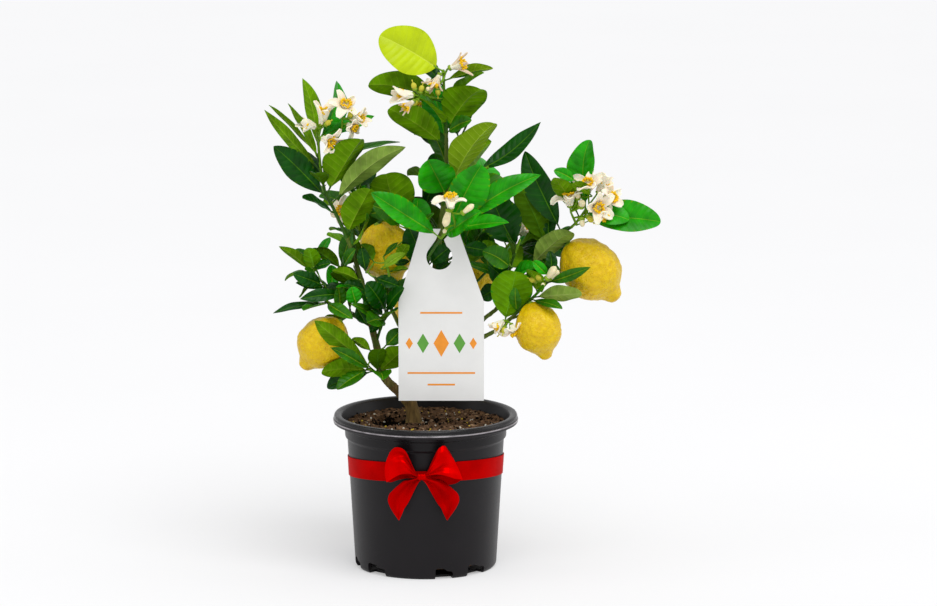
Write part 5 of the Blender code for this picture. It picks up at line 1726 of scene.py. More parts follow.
SPRIGS: dict[str, tuple[Sprig, ...]] = {
    "top_spray": (
        Sprig(((20, -4, 545), (22, -6, 550), (24, -7, 554)), (
            Bloom((27, -9, 556), Stage.FADED, (0.9, -0.3, 0.35), 1.15),
            Bloom((16, -9, 549), Stage.FADED, (-0.4, -0.3, -0.8)))),
        Sprig(((21, -5, 546), (19, -12, 543), (15, -14, 537)), (
            Bloom((14, -14, 534), Stage.FRUITLET, (0, 0, -1)),)),
        Sprig(((21, -2, 520), (10, -10, 523), (-3, -15, 525)), (
            Bloom((-13, -21, 528), Stage.HALF, (-0.9, -0.4, 0.1), 1.1),
            Bloom((-12, -24, 522), Stage.FADED, (-0.7, -0.4, -0.5), 0.9),
            Bloom((-11, -19, 534), Stage.FRUITLET, (-0.3, -0.2, 1)),
            Bloom((-5, -18, 531), Stage.FRUITLET, (0.3, -0.3, 1)),
            Bloom((-8, -19, 522), Stage.FRUITLET, (-0.6, -0.3, -0.5)),
            Bloom((2, -17, 531), Stage.PEARL, (0.5, -0.3, 1)))),
    ),
    "upper_left_spray": (
        Sprig(((-116, -15, 465), (-116, -18, 480), (-114, -19, 490)), (
            Bloom((-112, -26, 481), Stage.OPEN, (0.7, -0.6, -0.2)),
            Bloom((-113, -20, 496), Stage.HALF, (0.15, -0.3, 0.95), 1.2),
            Bloom((-119, -22, 493), Stage.HALF, (-0.8, -0.4, 0.3), 0.9),
            Bloom((-108, -24, 496), Stage.FRUITLET, (0.6, -0.5, 0.5)))),
        Sprig(((-102, -14, 471), (-92, -12, 486), (-90, -12, 501)), (
            Bloom((-90, -14, 508), Stage.OPEN, (0.3, -0.6, 0.75), 1.1),
            Bloom((-81, -15, 500), Stage.HALF, (0.8, -0.4, 0.2)),
            Bloom((-85, -16, 495), Stage.DROOP, (0.8, -0.5, -0.3), 0.8),
            Bloom((-82, -20, 504), Stage.FRUITLET, (0.2, -0.6, 0.7)))),
    ),
    "front_spray": (
        Sprig(((30, -50, 377), (33, -66, 392), (30, -80, 408)), (
            Bloom((28, -82, 412), Stage.DROOP, (-0.05, -0.1, 1), 1.15),
            Bloom((41, -88, 409), Stage.BUD, (0.75, -0.1, 0.6), 1.1),
            Bloom((26, -84, 411), Stage.BUD, (-0.25, -0.1, -1), 1.25),
            Bloom((23, -72, 389), Stage.PEARL, (-0.5, -0.2, -0.8), 0.8))),
    ),
    "upper_right_spray": (
        Sprig(((173, -7, 389), (177, -12, 398), (179, -15, 406)), (
            Bloom((178, -18, 421), Stage.OPEN, (-0.05, -0.6, 0.8), 1.15),
            Bloom((194, -18, 413), Stage.OPEN, (0.7, -0.6, 0.25), 1.15),
            Bloom((184, -26, 408), Stage.OPEN, (0.35, -0.85, -0.1), 1.1),
            Bloom((189, -16, 420), Stage.HALF, (0.5, -0.25, 0.85), 1.1),
            Bloom((190, -22, 401), Stage.DROOP, (0.6, -0.5, -0.6), 0.9))),
        Sprig(((166, -5, 382), (162, -12, 391), (159, -14, 398)), (
            Bloom((158, -18, 405), Stage.DROOP, (-0.15, -0.2, 1), 1.1),
            Bloom((170, -26, 406), Stage.PEARL, (0.2, -0.6, 0.8), 1.4),
            Bloom((167, -22, 414), Stage.PEARL, (-0.1, -0.4, 0.9)),
            Bloom((171, -22, 391), Stage.PEARL, (0.1, -0.5, -0.8), 1.25),
            Bloom((178, -22, 394), Stage.FRUITLET, (0.5, -0.6, -0.5), 1.1),
            Bloom((184, -20, 392), Stage.PEARL, (0.8, -0.5, -0.4), 1.1))),
    ),
    "lower_right_spray": (
        Sprig(((90, -22, 279), (90, -28, 278), (90, -32, 278)), (
            Bloom((94, -36, 277), Stage.DROOP, (0.35, -0.3, -0.9), 0.85),
            Bloom((86, -34, 280), Stage.HALF, (-0.7, -0.4, -0.4), 0.8),
            Bloom((87, -38, 274), Stage.FRUITLET, (-0.2, -0.6, -0.6)),
            Bloom((85, -34, 270), Stage.FRUITLET, (-0.6, -0.5, -0.6), 0.9))),
        Sprig(((127, -28, 312), (130, -32, 320), (131, -35, 325)), (
            Bloom((133, -37, 328), Stage.BUD, (0.55, -0.2, 0.8), 1.35),
            Bloom((136, -34, 328), Stage.BUD, (0.7, -0.2, 0.6), 1.2),
            Bloom((125, -38, 327), Stage.FRUITLET, (-0.3, -0.6, 0.7), 1.1),
            Bloom((121, -36, 325), Stage.FRUITLET, (-0.8, -0.4, 0.4), 1.1),
            Bloom((119, -34, 329), Stage.FRUITLET, (-0.6, -0.3, 0.8)),
            Bloom((129, -40, 322), Stage.PEARL, (-0.2, -0.9, 0.1), 0.8))),
    ),
}


@dataclass
class BlossomMaker:
    """Dresses a flower: waxy petals that curl as they please, a crown of stamens and a small green cup."""

    shell: Shell
    draw: random.Random
    petals: int = 5
    petal_length: float = 21.0
    petal_width: float = 9.6
    petal_thick: float = 1.3
    petal_fall: float = 0.05
    faded_width: float = 0.36
    petal_steps: int = 10
    petal_spots: tuple[float, ...] = (-1.0, -0.6, -0.2, 0.2, 0.6, 1.0)
    stamens: int = 28
    stamen_length: float = 15.0
    tube_share: float = 0.6
    tube_r: float = 3.1
    cup: float = 6.0
    opening: dict[Stage, Span] = field(default_factory=lambda: {
        Stage.OPEN: (65.0, 140.0), Stage.HALF: (14.0, 50.0), Stage.DROOP: (85.0, 178.0),
        Stage.FADED: (10.0, 75.0)})

    def add(self, place: Vector, way: Vector, stage: Stage, size: float = 1.0) -> None:
        """Adds a flower.

        Args:
            place: the middle of its cup.
            way: the direction that it faces.
            stage: how far it has come.
            size: how large it is.
        """
        draw, shell = self.draw, self.shell
        shell.egg(place, way, 3.6 * size, self.cup * size, CALYX, blunt=1.6)
        if stage is Stage.FRUITLET:
            shell.egg(place + way * 4 * size, way, 8.0 * size, 6.2 * size, FRUITLET, sides=12)
            style = [place + way * share * size for share in (7.0, 9.0, 11.0)]
            shell.bar(style, [0.8, 0.6, 0.9], FRUITLET, sides=6)
        elif stage is Stage.PEARL:
            long, wide = draw.uniform(5.5, 7.5) * size, draw.uniform(5.0, 6.2) * size
            shell.egg(place + way * 3.4 * size, way, long, wide, BUD, sides=14)
        elif stage is Stage.BUD:
            long, wide = draw.uniform(11.0, 14.5) * size, draw.uniform(6.0, 7.2) * size
            points = [place + way * long * share for share in (0.02, 0.15, 0.35, 0.6, 0.8, 0.93, 1.0)]
            radii = [wide / 2 * part for part in (0.5, 0.68, 0.84, 1.0, 0.92, 0.6, 0.2)]
            shell.bar(points, radii, BUD, sides=15, ridges=0.05)
        else:
            across = spin(draw.uniform(0, math.tau), way) @ way.orthogonal().normalized()
            for number in range(self.petals):
                turn = spin(math.tau * number / self.petals + draw.uniform(-0.25, 0.25), way)
                open_deg = draw.uniform(*self.opening[stage])
                if stage is Stage.HALF or draw.random() > self.petal_fall:
                    self.add_petal(place, way, turn @ across, open_deg, size, stage is Stage.FADED)
            self.add_stamens(place, way, across, size)

    def add_petal(self, place: Vector, way: Vector, out: Vector, end_deg: float, size: float, faded: bool
                  ) -> None:
        """Adds a petal, which curls outward and twists a little.

        Args:
            place: the middle of the cup.
            way: the direction that the flower faces.
            out: the petal's direction from the flower's middle.
            end_deg: how far its tip has turned away from the flower's axis.
            size: how large the flower is.
            faded: whether it has shrunk to a strand.
        """
        draw, side = self.draw, way.cross(out)
        spot, rows = place + (way * 0.8 + out * 1.4) * size, []
        length = self.petal_length * draw.uniform(0.85, 1.2) * size
        width = self.petal_width * draw.uniform(0.85, 1.15) * size * (self.faded_width if faded else 1.0)
        start_deg, twist = min(end_deg, draw.uniform(8, 22)), math.radians(draw.uniform(-40, 40))
        wave, phase = draw.uniform(0.0, 0.9), draw.uniform(0, math.tau)
        for number in range(self.petal_steps + 1):
            share = number / self.petal_steps
            angle = math.radians(start_deg + (end_deg - start_deg) * share ** 1.15)
            forward = way * math.cos(angle) + out * math.sin(angle)
            roll = spin(twist * share, forward)
            across, inner = roll @ side, roll @ (way * math.sin(angle) - out * math.cos(angle))
            half = width / 2 * math.sin(math.pi * min(0.97, 0.13 + 0.83 * share ** 1.3)) ** 0.5
            ripple = wave * math.sin(6 * share + phase) * share
            rows.append([spot + across * half * part + inner * (half * 0.42 * part * part + ripple * part)
                         for part in self.petal_spots])
            spot = spot + forward * length / self.petal_steps
        self.shell.add(*thickened(rows, self.petal_thick), FADED_PETAL if faded else PETAL)

    def add_stamens(self, place: Vector, way: Vector, across: Vector, size: float) -> None:
        """Adds the white tube of filaments with its crown of anthers, and the pistil inside it.

        Args:
            place: the middle of the cup.
            way: the direction that the flower faces.
            across: a direction across it.
            size: how large the flower is.
        """
        draw, shell = self.draw, self.shell
        foot, tube_r = self.stamen_length * self.tube_share * size, self.tube_r * size
        route = [place + way * foot * share for share in (0.2, 0.6, 1.0)]
        shell.bar(route, [tube_r * 0.85, tube_r, tube_r * 1.15], FILAMENT, sides=12)
        for number in range(self.stamens):
            out = spin(math.tau * number / self.stamens, way) @ across
            lean = math.radians(draw.uniform(0, 34))
            length = self.stamen_length * size * draw.uniform(0.24, 0.42)
            start = place + way * foot + out * tube_r
            tip = start + (way * math.cos(lean) + out * math.sin(lean)) * length
            shell.bar([start - way * 1.5, tip], [0.5, 0.35], FILAMENT, sides=4)
            shell.egg(tip, (way + out * 0.6).normalized(), 3.8, 2.3, ANTHER, sides=6)
        shell.egg(place + way * self.stamen_length * size, way, 2.2, 2.6, FRUITLET, sides=8)


@dataclass
class FoliageMass:
    """One mass of the crown: its twigs, leaves, blossom and fruit, each kind as a piece of its own."""

    name: str
    growth: Growth
    bud: float = 2.4
    thorn: float = 6.5
    thorn_share: float = 0.2
    node_swell: float = 0.2
    least_r: float = 1.5
    sprig_r: float = 1.5
    flower_stalk_r: float = 0.95
    tone_shares: tuple[int, int] = (5, 5)
    leaves: Shell = field(default_factory=Shell)
    twigs: Shell = field(default_factory=Shell)
    blossom: Shell = field(default_factory=Shell)
    fruit: Shell = field(default_factory=Shell)

    def build(self) -> None:
        """Makes the pieces of the mass."""
        spray = SPRAYS[self.name]
        draw = random.Random(spray.seed + LOOKS_SEED)
        leaf_maker = LeafMaker(self.leaves, self.twigs, draw)
        lemon_maker = LemonMaker(self.fruit, draw)
        blossom_maker = BlossomMaker(self.blossom, draw)
        for leaf in self.growth.leaves[self.name]:
            leaf_maker.add(self.toned(leaf, spray.bright, draw))
            self.add_axil(leaf, draw)
        sprigs = SPRIGS.get(self.name, ())
        for number, stem in enumerate(self.growth.stems[self.name]):
            if not sprigs or stem.radii != RULE.bloom_stalk_radii:
                self.add_stem(stem, is_main=number == 0)
        for lemon in spray.fruits:
            # the lemon inside the crown takes the lighter rind: painted light
            lemon_maker.add(lemon, RIND_PAINTED_LIGHT if self.name == "inner_upper_spray" else RIND)
        for sprig in sprigs:
            self.add_sprig(sprig, blossom_maker)
        if not sprigs:
            for place, way in self.growth.blooms[self.name]:
                blossom_maker.add(place, way, draw.choice((Stage.OPEN, Stage.HALF, Stage.PEARL)))
        for kind in ("leaves", "twigs", "blossom", "fruit"):
            shell = getattr(self, kind)
            if shell.count:
                piece(shell.build(f"{self.name}_{kind}"), [self.name])

    def toned(self, leaf: GrownLeaf, bright: int, draw: random.Random) -> GrownLeaf:
        """The leaf, with its tone drawn where none is given.

        Args:
            leaf: the grown leaf.
            bright: how often one is bright.
            draw: the mass's seeded numbers.

        Returns:
            The same leaf with a tone.
        """
        if leaf.tone is not MIXED:
            return leaf
        return replace(leaf, tone=draw.choices((DEEP, MID, BRIGHT), (*self.tone_shares, bright))[0])

    def add_stem(self, stem: Stem, is_main: bool) -> None:
        """Adds a stem that swells a little at each leaf.

        Args:
            stem: its route and radii.
            is_main: whether it bears the whole mass.
        """
        route = spread(stem.route, 5)
        roots = [leaf.root for leaf in self.growth.leaves[self.name]]
        radii = []
        for place, radius in zip(route, tapered(stem.radii, len(route))):
            near = min(((place - root).length for root in roots), default=99.0)
            radii.append(radius * (1 + self.node_swell * math.exp(-(near / 2.0) ** 2)))
        if not is_main:
            look = GREEN_TWIG if stem.radii[0] > 1.0 else YOUNG_TWIG
            self.twigs.bar(route, radii, look, sides=12, ridges=0.06)
            return
        radii = [max(radius, self.least_r) for radius in radii]
        looks = (GREEN_WOOD if stem.radii[0] > 1.9 else GREEN_TWIG, GREEN_TWIG, YOUNG_TWIG)
        first, second = round(len(route) * 0.3), round(len(route) * 0.75)
        for look, low, high in zip(looks, (0, first - 1, second - 1), (first, second, len(route))):
            self.twigs.bar(route[low:high], radii[low:high], look, sides=12, ridges=0.06)

    def add_axil(self, leaf: GrownLeaf, draw: random.Random) -> None:
        """Adds the bud in a leaf's fork, and now and then a thorn beside it.

        Args:
            leaf: the leaf.
            draw: the mass's seeded numbers.
        """
        way = (leaf.tip - leaf.root).normalized()
        up = (way + rise(1.1)).normalized()
        start = leaf.root + way * 1.2
        self.twigs.egg(start + up * self.bud * 0.4, up, self.bud, self.bud * 0.6, YOUNG_TWIG, sides=6)
        if draw.random() < self.thorn_share:
            out = (way.cross(up) * draw.choice((-1, 1)) + up * 0.7).normalized()
            route = [leaf.root + out * self.thorn * share for share in (0.0, 0.3, 0.65, 1.0)]
            self.twigs.bar(route, [0.9, 0.6, 0.35, 0.08], THORN, sides=6)

    def add_sprig(self, sprig: Sprig, blossom_maker: BlossomMaker) -> None:
        """Adds a spray of blossom that shows.

        Args:
            sprig: the spray's places.
            blossom_maker: what dresses its flowers.
        """
        route = spread(sprig.route, 4)
        last = len(route) - 1
        self.twigs.bar(route, [self.sprig_r - 0.4 * i / last for i in range(last + 1)], YOUNG_TWIG)
        for bloom in sprig.blooms:
            cup, way = Vector(bloom.at), Vector(bloom.way).normalized()
            start = min(route[len(route) // 2:], key=lambda point: (point - cup).length)
            stalk = spread((start, start.lerp(cup, 0.6) - way * 1.5, cup), 3)
            self.twigs.bar(stalk, [self.flower_stalk_r] * len(stalk), YOUNG_TWIG, sides=6)
            blossom_maker.add(cup, way, bloom.stage, bloom.size)


@dataclass
class Timber:
    """The trunk and the boughs: one skin that runs smoothly through the forks, with the bark's relief."""

    growth: Growth
    voxel: float = 0.85
    flare: float = 1.16
    ridge: float = 0.38
    knob: float = 0.5
    foot: float = 3.0
    ages: Span = (5.0, 3.9)
    patchy: float = 1.1

    def build(self) -> None:
        """Makes the skin from bars that it joins."""
        bars = Shell()
        for name, stem in self.growth.limbs.items():
            route = spread(stem.route, 3)
            radii = tapered(stem.radii, len(route))
            if name == "trunk":
                radii = [radius * (1 + (self.flare - 1) * math.exp(-i / 4))
                         for i, radius in enumerate(radii)]
                route[0] = route[0] - rise(self.foot)
            bars.bar(route, radii, OLD_BARK, sides=20)
        obj = bars.build("timber", 180.0)
        remesh = obj.modifiers.new("skin", "REMESH")
        remesh.mode = "VOXEL"
        remesh.voxel_size = self.voxel * MM
        remesh.use_smooth_shade = True
        smooth = obj.modifiers.new("soften", "SMOOTH")
        smooth.factor, smooth.iterations = 0.5, 6
        mesh = final_mesh(obj)
        obj.modifiers.clear()
        obj.data = mesh
        self.carve(mesh)
        self.dress(mesh)
        piece(obj, LIMBS)

    def dress(self, mesh: bpy.types.Mesh) -> None:
        """Gives each face the bark of its age, which shows in how thick the limb is there.

        Args:
            mesh: the skin.
        """
        spots, sizes = [], []
        for stem in self.growth.limbs.values():
            route = spread(stem.route, 4)
            spots += [tuple(place) for place in route]
            sizes += tapered(stem.radii, len(route))
        spots, sizes = np.array(spots), np.array(sizes)
        numbers = []
        for face in mesh.polygons:
            middle = np.array(face.center) / MM
            size = sizes[np.argmin(((spots - middle) ** 2).sum(axis=1))]
            shift = self.patchy * noise.noise(Vector(middle) / 9)
            size += shift + 0.5 * self.patchy * noise.noise(Vector(middle) / 2)
            numbers.append(sum(size < limit for limit in self.ages))
        mesh.materials.clear()
        for look in (OLD_BARK, YOUNG_BARK, GREEN_WOOD):
            mesh.materials.append(look.material())
        mesh.polygons.foreach_set("material_index", numbers)

    def carve(self, mesh: bpy.types.Mesh) -> None:
        """Moves the skin out and in by the bark's ridges and knobs.

        Args:
            mesh: the skin.
        """
        count = len(mesh.vertices)
        points, normals = np.empty(count * 3), np.empty(count * 3)
        mesh.vertices.foreach_get("co", points)
        mesh.vertex_normals.foreach_get("vector", normals)
        points, normals = points.reshape(-1, 3) / MM, normals.reshape(-1, 3)
        heights = np.empty(count)
        for i, (x, y, z) in enumerate(points):
            low = noise.noise(Vector((x / 1.7, y / 1.7, z / 14)))
            fine = noise.noise(Vector((x / 0.9, y / 0.9, z / 5 + 40)))
            knob = max(0.0, noise.noise(Vector((x / 7, y / 7, z / 5 + 90))) - 0.25)
            heights[i] = self.ridge * (low + 0.5 * fine) + self.knob * 2.5 * knob
        mesh.vertices.foreach_set("co", ((points + normals * heights[:, None]) * MM).ravel())
        mesh.update()


def turned_points(profile: Iterable[Span], steps: int) -> np.ndarray:
    """The points of a profile that is turned round the z axis.

    Args:
        profile: pairs of radius and height.
        steps: round the axis.

    Returns:
        Profile points by steps by three.
    """
    angles = np.arange(steps) * math.tau / steps
    return np.array([[(*polar(r, a), z) for a in angles] for r, z in profile])


def rounded(profile: Sequence[Span], corners: dict[int, float], steps: int = 5) -> list[Span]:
    """A profile with arcs at some of its corners.

    Args:
        profile: pairs of radius and height.
        corners: the radius of the arc at each corner's number.
        steps: points in an arc.

    Returns:
        The new profile.
    """
    made = []
    for number, here in enumerate(profile):
        if number not in corners:
            made.append(here)
            continue
        spot = Vector(here)
        before = spot + (Vector(profile[number - 1]) - spot).normalized() * corners[number]
        after = spot + (Vector(profile[number + 1]) - spot).normalized() * corners[number]
        for step in range(steps + 1):
            t = step / steps
            made.append(tuple(before * (1 - t) ** 2 + spot * 2 * t * (1 - t) + after * t * t))
    return made


@dataclass
class NurseryPot:
    """The blow-moulded pot: one wall with a rolled lip, a collar, and drain notches at its foot.

    Attributes:
        notches: in every quarter turn, each notch's place round the foot in degrees, and its width.
        painted_highlight_band: how far below the top the lip's painted highlight ends and starts.
        seam_deg: where the first of the mould's two seams is.
    """

    height: float = 171.0
    foot_r: float = 78.0
    shoulder_r: float = 86.5
    collar_r: float = 89.5
    lip_r: float = 102.4
    mouth_r: float = 92.5
    collar: float = 26.0
    wall: float = 1.8
    floor: float = 2.5
    steps: int = 192
    notch_height: float = 12.5
    notch_slope: float = 4.0
    notch_depth: float = 12.0
    notches: tuple[Span, ...] = ((195.5, 20.0), (226.0, 26.0))
    painted_highlight_band: Span = (6.8, 5.6)
    seam_stand: float = 0.25
    seam_deg: float = 12.0

    def outer_radius(self, height: float) -> float:
        """The wall's outer radius at a height below the collar."""
        return self.foot_r + (self.shoulder_r - self.foot_r) * height / (self.height - self.collar)

    def profile(self) -> list[Span]:
        """The section of the wall.

        Returns:
            Pairs of radius and height, from the floor's middle up the inside and down the outside.
        """
        top = self.height
        outer = [
            (self.mouth_r + 3, top), (self.lip_r - 2.0, top - 0.4), (self.lip_r - 0.9, top - 3.4),
            (self.lip_r - 1.7, top - 4.6), (self.lip_r, top - 6.2), (self.lip_r - 0.8, top - 9.6),
            (self.mouth_r + 1.5, top - 10.6), (self.mouth_r + 0.5, top - 14), (self.collar_r, top - 15.5),
            (self.collar_r - 0.5, top - 25), (self.shoulder_r, top - 27.5), (self.outer_radius(3), 3.0),
            (self.foot_r - 2, 0.0), (0.05, 0.0)]
        inner = [
            (0.05, self.floor), (self.outer_radius(self.floor) - self.wall - 1, self.floor),
            (self.shoulder_r - self.wall, top - 28), (self.collar_r - self.wall, top - 14),
            (self.mouth_r, top - 2)]
        arcs = {1: 2.0, 2: 2.0, 3: 2.0, 4: 1.5, 5: 2.2, 6: 1.4, 7: 0.6, 8: 0.5, 9: 0.8, 10: 0.7, 11: 1.0,
                13: 1.0, 14: 1.0, 15: 1.2, 16: 1.6, 17: 1.0}
        return rounded([*inner, *outer], arcs)

    def build(self) -> None:
        """Makes the pot, with its notches cut."""
        points = turned_points(self.profile(), self.steps)
        self.raise_seams(points)
        faces, *caps = capped_faces(len(points), self.steps)
        row = np.arange(len(faces)) // self.steps
        out, down = points[row, 0, 0], self.height - points[row, 0, 2]
        # a narrow band of the lip takes a light grey finish: painted highlight
        low, high = self.painted_highlight_band
        is_painted_highlight = (out > self.lip_r - 2) & (down < low) & (down > high)
        is_lip = (out > self.mouth_r) & (down < high)
        looks = [RIM_PAINTED_HIGHLIGHT if edge else LIP_PLASTIC if lip else POT_PLASTIC
                 for edge, lip in zip(is_painted_highlight, is_lip)]
        shell = Shell()
        ends = np.array([(0.0, 0.0, self.floor), (0.0, 0.0, 0.0)])
        shell.add(np.concatenate([points.reshape(-1, 3), ends]), faces, looks, caps)
        pot = shell.build("nursery_pot", 32.0)
        self.cut_notches(pot)
        pot.data.set_sharp_from_angle(angle=math.radians(32))
        piece(pot, ["pot"])

    def raise_seams(self, points: np.ndarray) -> None:
        """Raises the mould's two seams, one on each side of the wall.

        Args:
            points: profile points by steps by three, changed in place.
        """
        seams = np.radians([self.seam_deg, self.seam_deg + 180])
        for step in range(self.steps):
            angle = math.tau * step / self.steps
            near = min(abs((angle - seam + math.pi) % math.tau - math.pi) for seam in seams)
            lift = self.seam_stand * math.exp(-(near * self.foot_r / 1.6) ** 2)
            outside = np.hypot(points[:, step, 0], points[:, step, 1]) > self.foot_r - 1
            points[outside, step, :2] *= 1 + lift / self.shoulder_r

    def notch_arch(self, wide: float) -> list[Span]:
        """The outline of a notch, whose top is arched.

        Args:
            wide: its width.

        Returns:
            Pairs of places across and up.
        """
        half, top, turns = wide / 2, self.notch_height, (0.4, 0.8, 1.2, 1.57)
        low = top - self.notch_slope
        arch = [(-half, -5.0), (half, -5.0), (half, low - 3)]
        arch += [(half - 3 + 3 * math.cos(a), low - 3 + 3 * math.sin(a)) for a in turns]
        arch += [(half * 0.3, top - 3.4), (0.0, top - 0.8)]
        arch += [(3 - half - 3 * math.cos(a), top - 3 + 3 * math.sin(a)) for a in turns[::-1]]
        return [*arch, (-half, top - 3)]

    def cut_notches(self, pot: bpy.types.Object) -> None:
        """Cuts the drain notches.

        Args:
            pot: the pot, changed in place.
        """
        for number in range(8):
            start_deg, wide = self.notches[number % 2]
            turn = spin(math.radians(start_deg + 90 * (number // 2)), "Z")
            arch = self.notch_arch(wide)
            points = [Vector((depth, across, up))
                      for depth in (self.foot_r - self.notch_depth, self.foot_r + self.notch_depth)
                      for across, up in arch]
            mesh = bpy.data.meshes.new("notch")
            mesh.from_pydata([turn @ point * MM for point in points], [], prism_faces(len(arch)))
            cutter = placed("notch", mesh)
            cut = pot.modifiers.new("notch", "BOOLEAN")
            cut.object, cut.operation, cut.solver = cutter, "DIFFERENCE", "EXACT"
            made = final_mesh(pot)
            pot.modifiers.clear()
            pot.data = made
            bpy.data.objects.remove(cutter)


@dataclass
class PottingMix:
    """The filling: a rough dark surface with crumbs, bark chips, perlite and a few feed beads on it.

    Attributes:
        pits: for each, its middle across and away, half its width and its depth.
        kinds: for each kind of bit, how many, its finish, its span of lengths, and its height's share.
    """

    pot: NurseryPot
    top: float = 161.0
    crown: float = 1.5
    room: float = 1.3
    bed: float = 11.0
    rough: float = 3.6
    pits: tuple[tuple[float, float, float, float], ...] = ((-38.0, 14.0, 18.0, 18.0), (6.0, 14.0, 9.0, 9.0))
    kinds: tuple[tuple[int, Finish, Span, float], ...] = (
        (700, PEAT_CRUMB, (1.0, 3.4), 0.7), (420, DARK_MIX_AND_SHADE, (1.4, 4.6), 0.6),
        (210, BARK_CHIP, (1.6, 7.5), 0.3), (90, PERLITE, (0.8, 3.4), 0.8), (45, FEED_BEAD, (1.6, 3.2), 1.0))
    seed: int = 5
    rings: int = 80
    steps: int = 200

    def surface(self, x: float, y: float) -> float:
        """The height of the mix at a place.

        Args:
            x: the place across.
            y: the place away from the viewer.

        Returns:
            The height.
        """
        crown = self.crown * (1 - smooth_step(math.hypot(x, y) / 80.0))
        lumps = noise.noise(Vector((x / 9, y / 9, 3))) + 0.6 * noise.noise(Vector((x / 4, y / 4, 8)))
        lumps += 0.35 * noise.noise(Vector((x / 1.8, y / 1.8, 12)))
        hole = sum(pit[3] * math.exp(-self.in_pit(x, y, pit) ** 2) for pit in self.pits)
        return self.top + crown + self.rough * (lumps - 0.6) - hole

    @staticmethod
    def in_pit(x: float, y: float, pit: tuple[float, float, float, float]) -> float:
        """How far a place is from a pit's middle, where 1 is its edge."""
        return ((x - pit[0]) ** 2 + (y - pit[1]) ** 2 / 2) / pit[2] ** 2

    def pit_share(self, x: float, y: float) -> float:
        """The same for the nearest pit."""
        return min(self.in_pit(x, y, pit) for pit in self.pits)

    def build(self) -> None:
        """Makes the mix and what lies on it."""
        rim = self.pot.collar_r - self.pot.wall + 0.4
        turns = [math.tau * step / self.steps for step in range(self.steps)]
        places = [polar(rim * ring / self.rings, turn)
                  for ring in range(1, self.rings + 1) for turn in turns]
        points = [(x, y, self.surface(x, y)) for x, y in places]
        side = self.pot.shoulder_r - self.pot.wall - self.room
        low = self.pot.outer_radius(self.bed) - self.pot.wall - self.room
        for out, height in ((side + 1.0, self.pot.height - self.pot.collar - 2), (low, self.bed)):
            points += [(*polar(out, turn), height) for turn in turns]
        points += [(0.0, 0.0, self.surface(0, 0)), (0.0, 0.0, self.bed)]
        faces, *caps = capped_faces(self.rings + 2, self.steps)
        # faces in and round the pits take the near-black mix: painted shade in the hollows
        looks = []
        for face in faces:
            x, y, _ = points[face[0]]
            painted_shade_reach = self.pit_share(x, y) + 0.35 * noise.noise(Vector((x / 5, y / 5, 30)))
            looks.append(DARK_MIX_AND_SHADE if painted_shade_reach < 1.2 else POTTING_MIX)
        shell = Shell()
        shell.add(np.array(points), faces, looks, caps)
        piece(shell.build("potting_mix", 80.0), ["soil"])
        self.scatter()

    def scatter(self) -> None:
        """Strews the loose bits over the surface."""
        draw = random.Random(self.seed)
        bits = Shell()
        for count, look, sizes, flat in self.kinds:
            for _ in range(count):
                out = (self.pot.collar_r - 5) * math.sqrt(draw.random())
                x, y = polar(out, draw.uniform(0, math.tau))
                size = draw.uniform(*sizes)
                # only the dark crumbs go into the pits, which keeps their painted shade dark
                if look is DARK_MIX_AND_SHADE or self.pit_share(x, y) >= 0.85:
                    place = Vector((x, y, self.surface(x, y) + size * 0.16 * flat))
                    self.add_bit(bits, place, size, flat, look, draw)
        piece(bits.build("loose_bits", 30.0), ["soil"])

    @staticmethod
    def add_bit(shell: Shell, place: Vector, size: float, flat: float, look: Finish, draw: random.Random
                ) -> None:
        """Adds one uneven bit.

        Args:
            shell: the loose bits.
            place: its middle.
            size: its length.
            flat: its height as a share of that.
            look: its finish.
            draw: its seeded numbers.
        """
        bm = bmesh.new()
        bmesh.ops.create_icosphere(bm, subdivisions=1, radius=0.5)
        uneven = 0.05 if flat == 1.0 else 0.24
        turn = spin(draw.uniform(0, math.tau), "Z") @ spin(draw.uniform(-0.5, 0.5), "X")
        stretch = Vector((1.0, draw.uniform(0.5, 0.95) if flat < 1 else 1.0, flat))
        points = []
        for vert in bm.verts:
            spot = vert.co * (1 + draw.uniform(-uneven, uneven))
            points.append(tuple(place + turn @ (spot * stretch * size)))
        faces = np.array([[vert.index for vert in face.verts] for face in bm.faces])
        bm.free()
        shell.add(np.array(points), faces, look)


@dataclass(frozen=True)
class BowSide:
    """One side of the bow, in places outward, towards the viewer and up from the knot's middle.

    Attributes:
        sign: -1 for the left, 1 for the right.
        tail_stretch: how much further out its tail runs.
        bulge: how far the end of its loop rounds outward.
        crease: where the loop's crease starts across its width, and how far it shifts by the loop's end.
        top: the loop's upper edge.
        lip: its lower edge in front.
        under: its lower edge behind.
    """

    name: str
    sign: int
    tail_stretch: float
    bulge: float
    crease: Span
    top: Route
    lip: Route
    under: Route


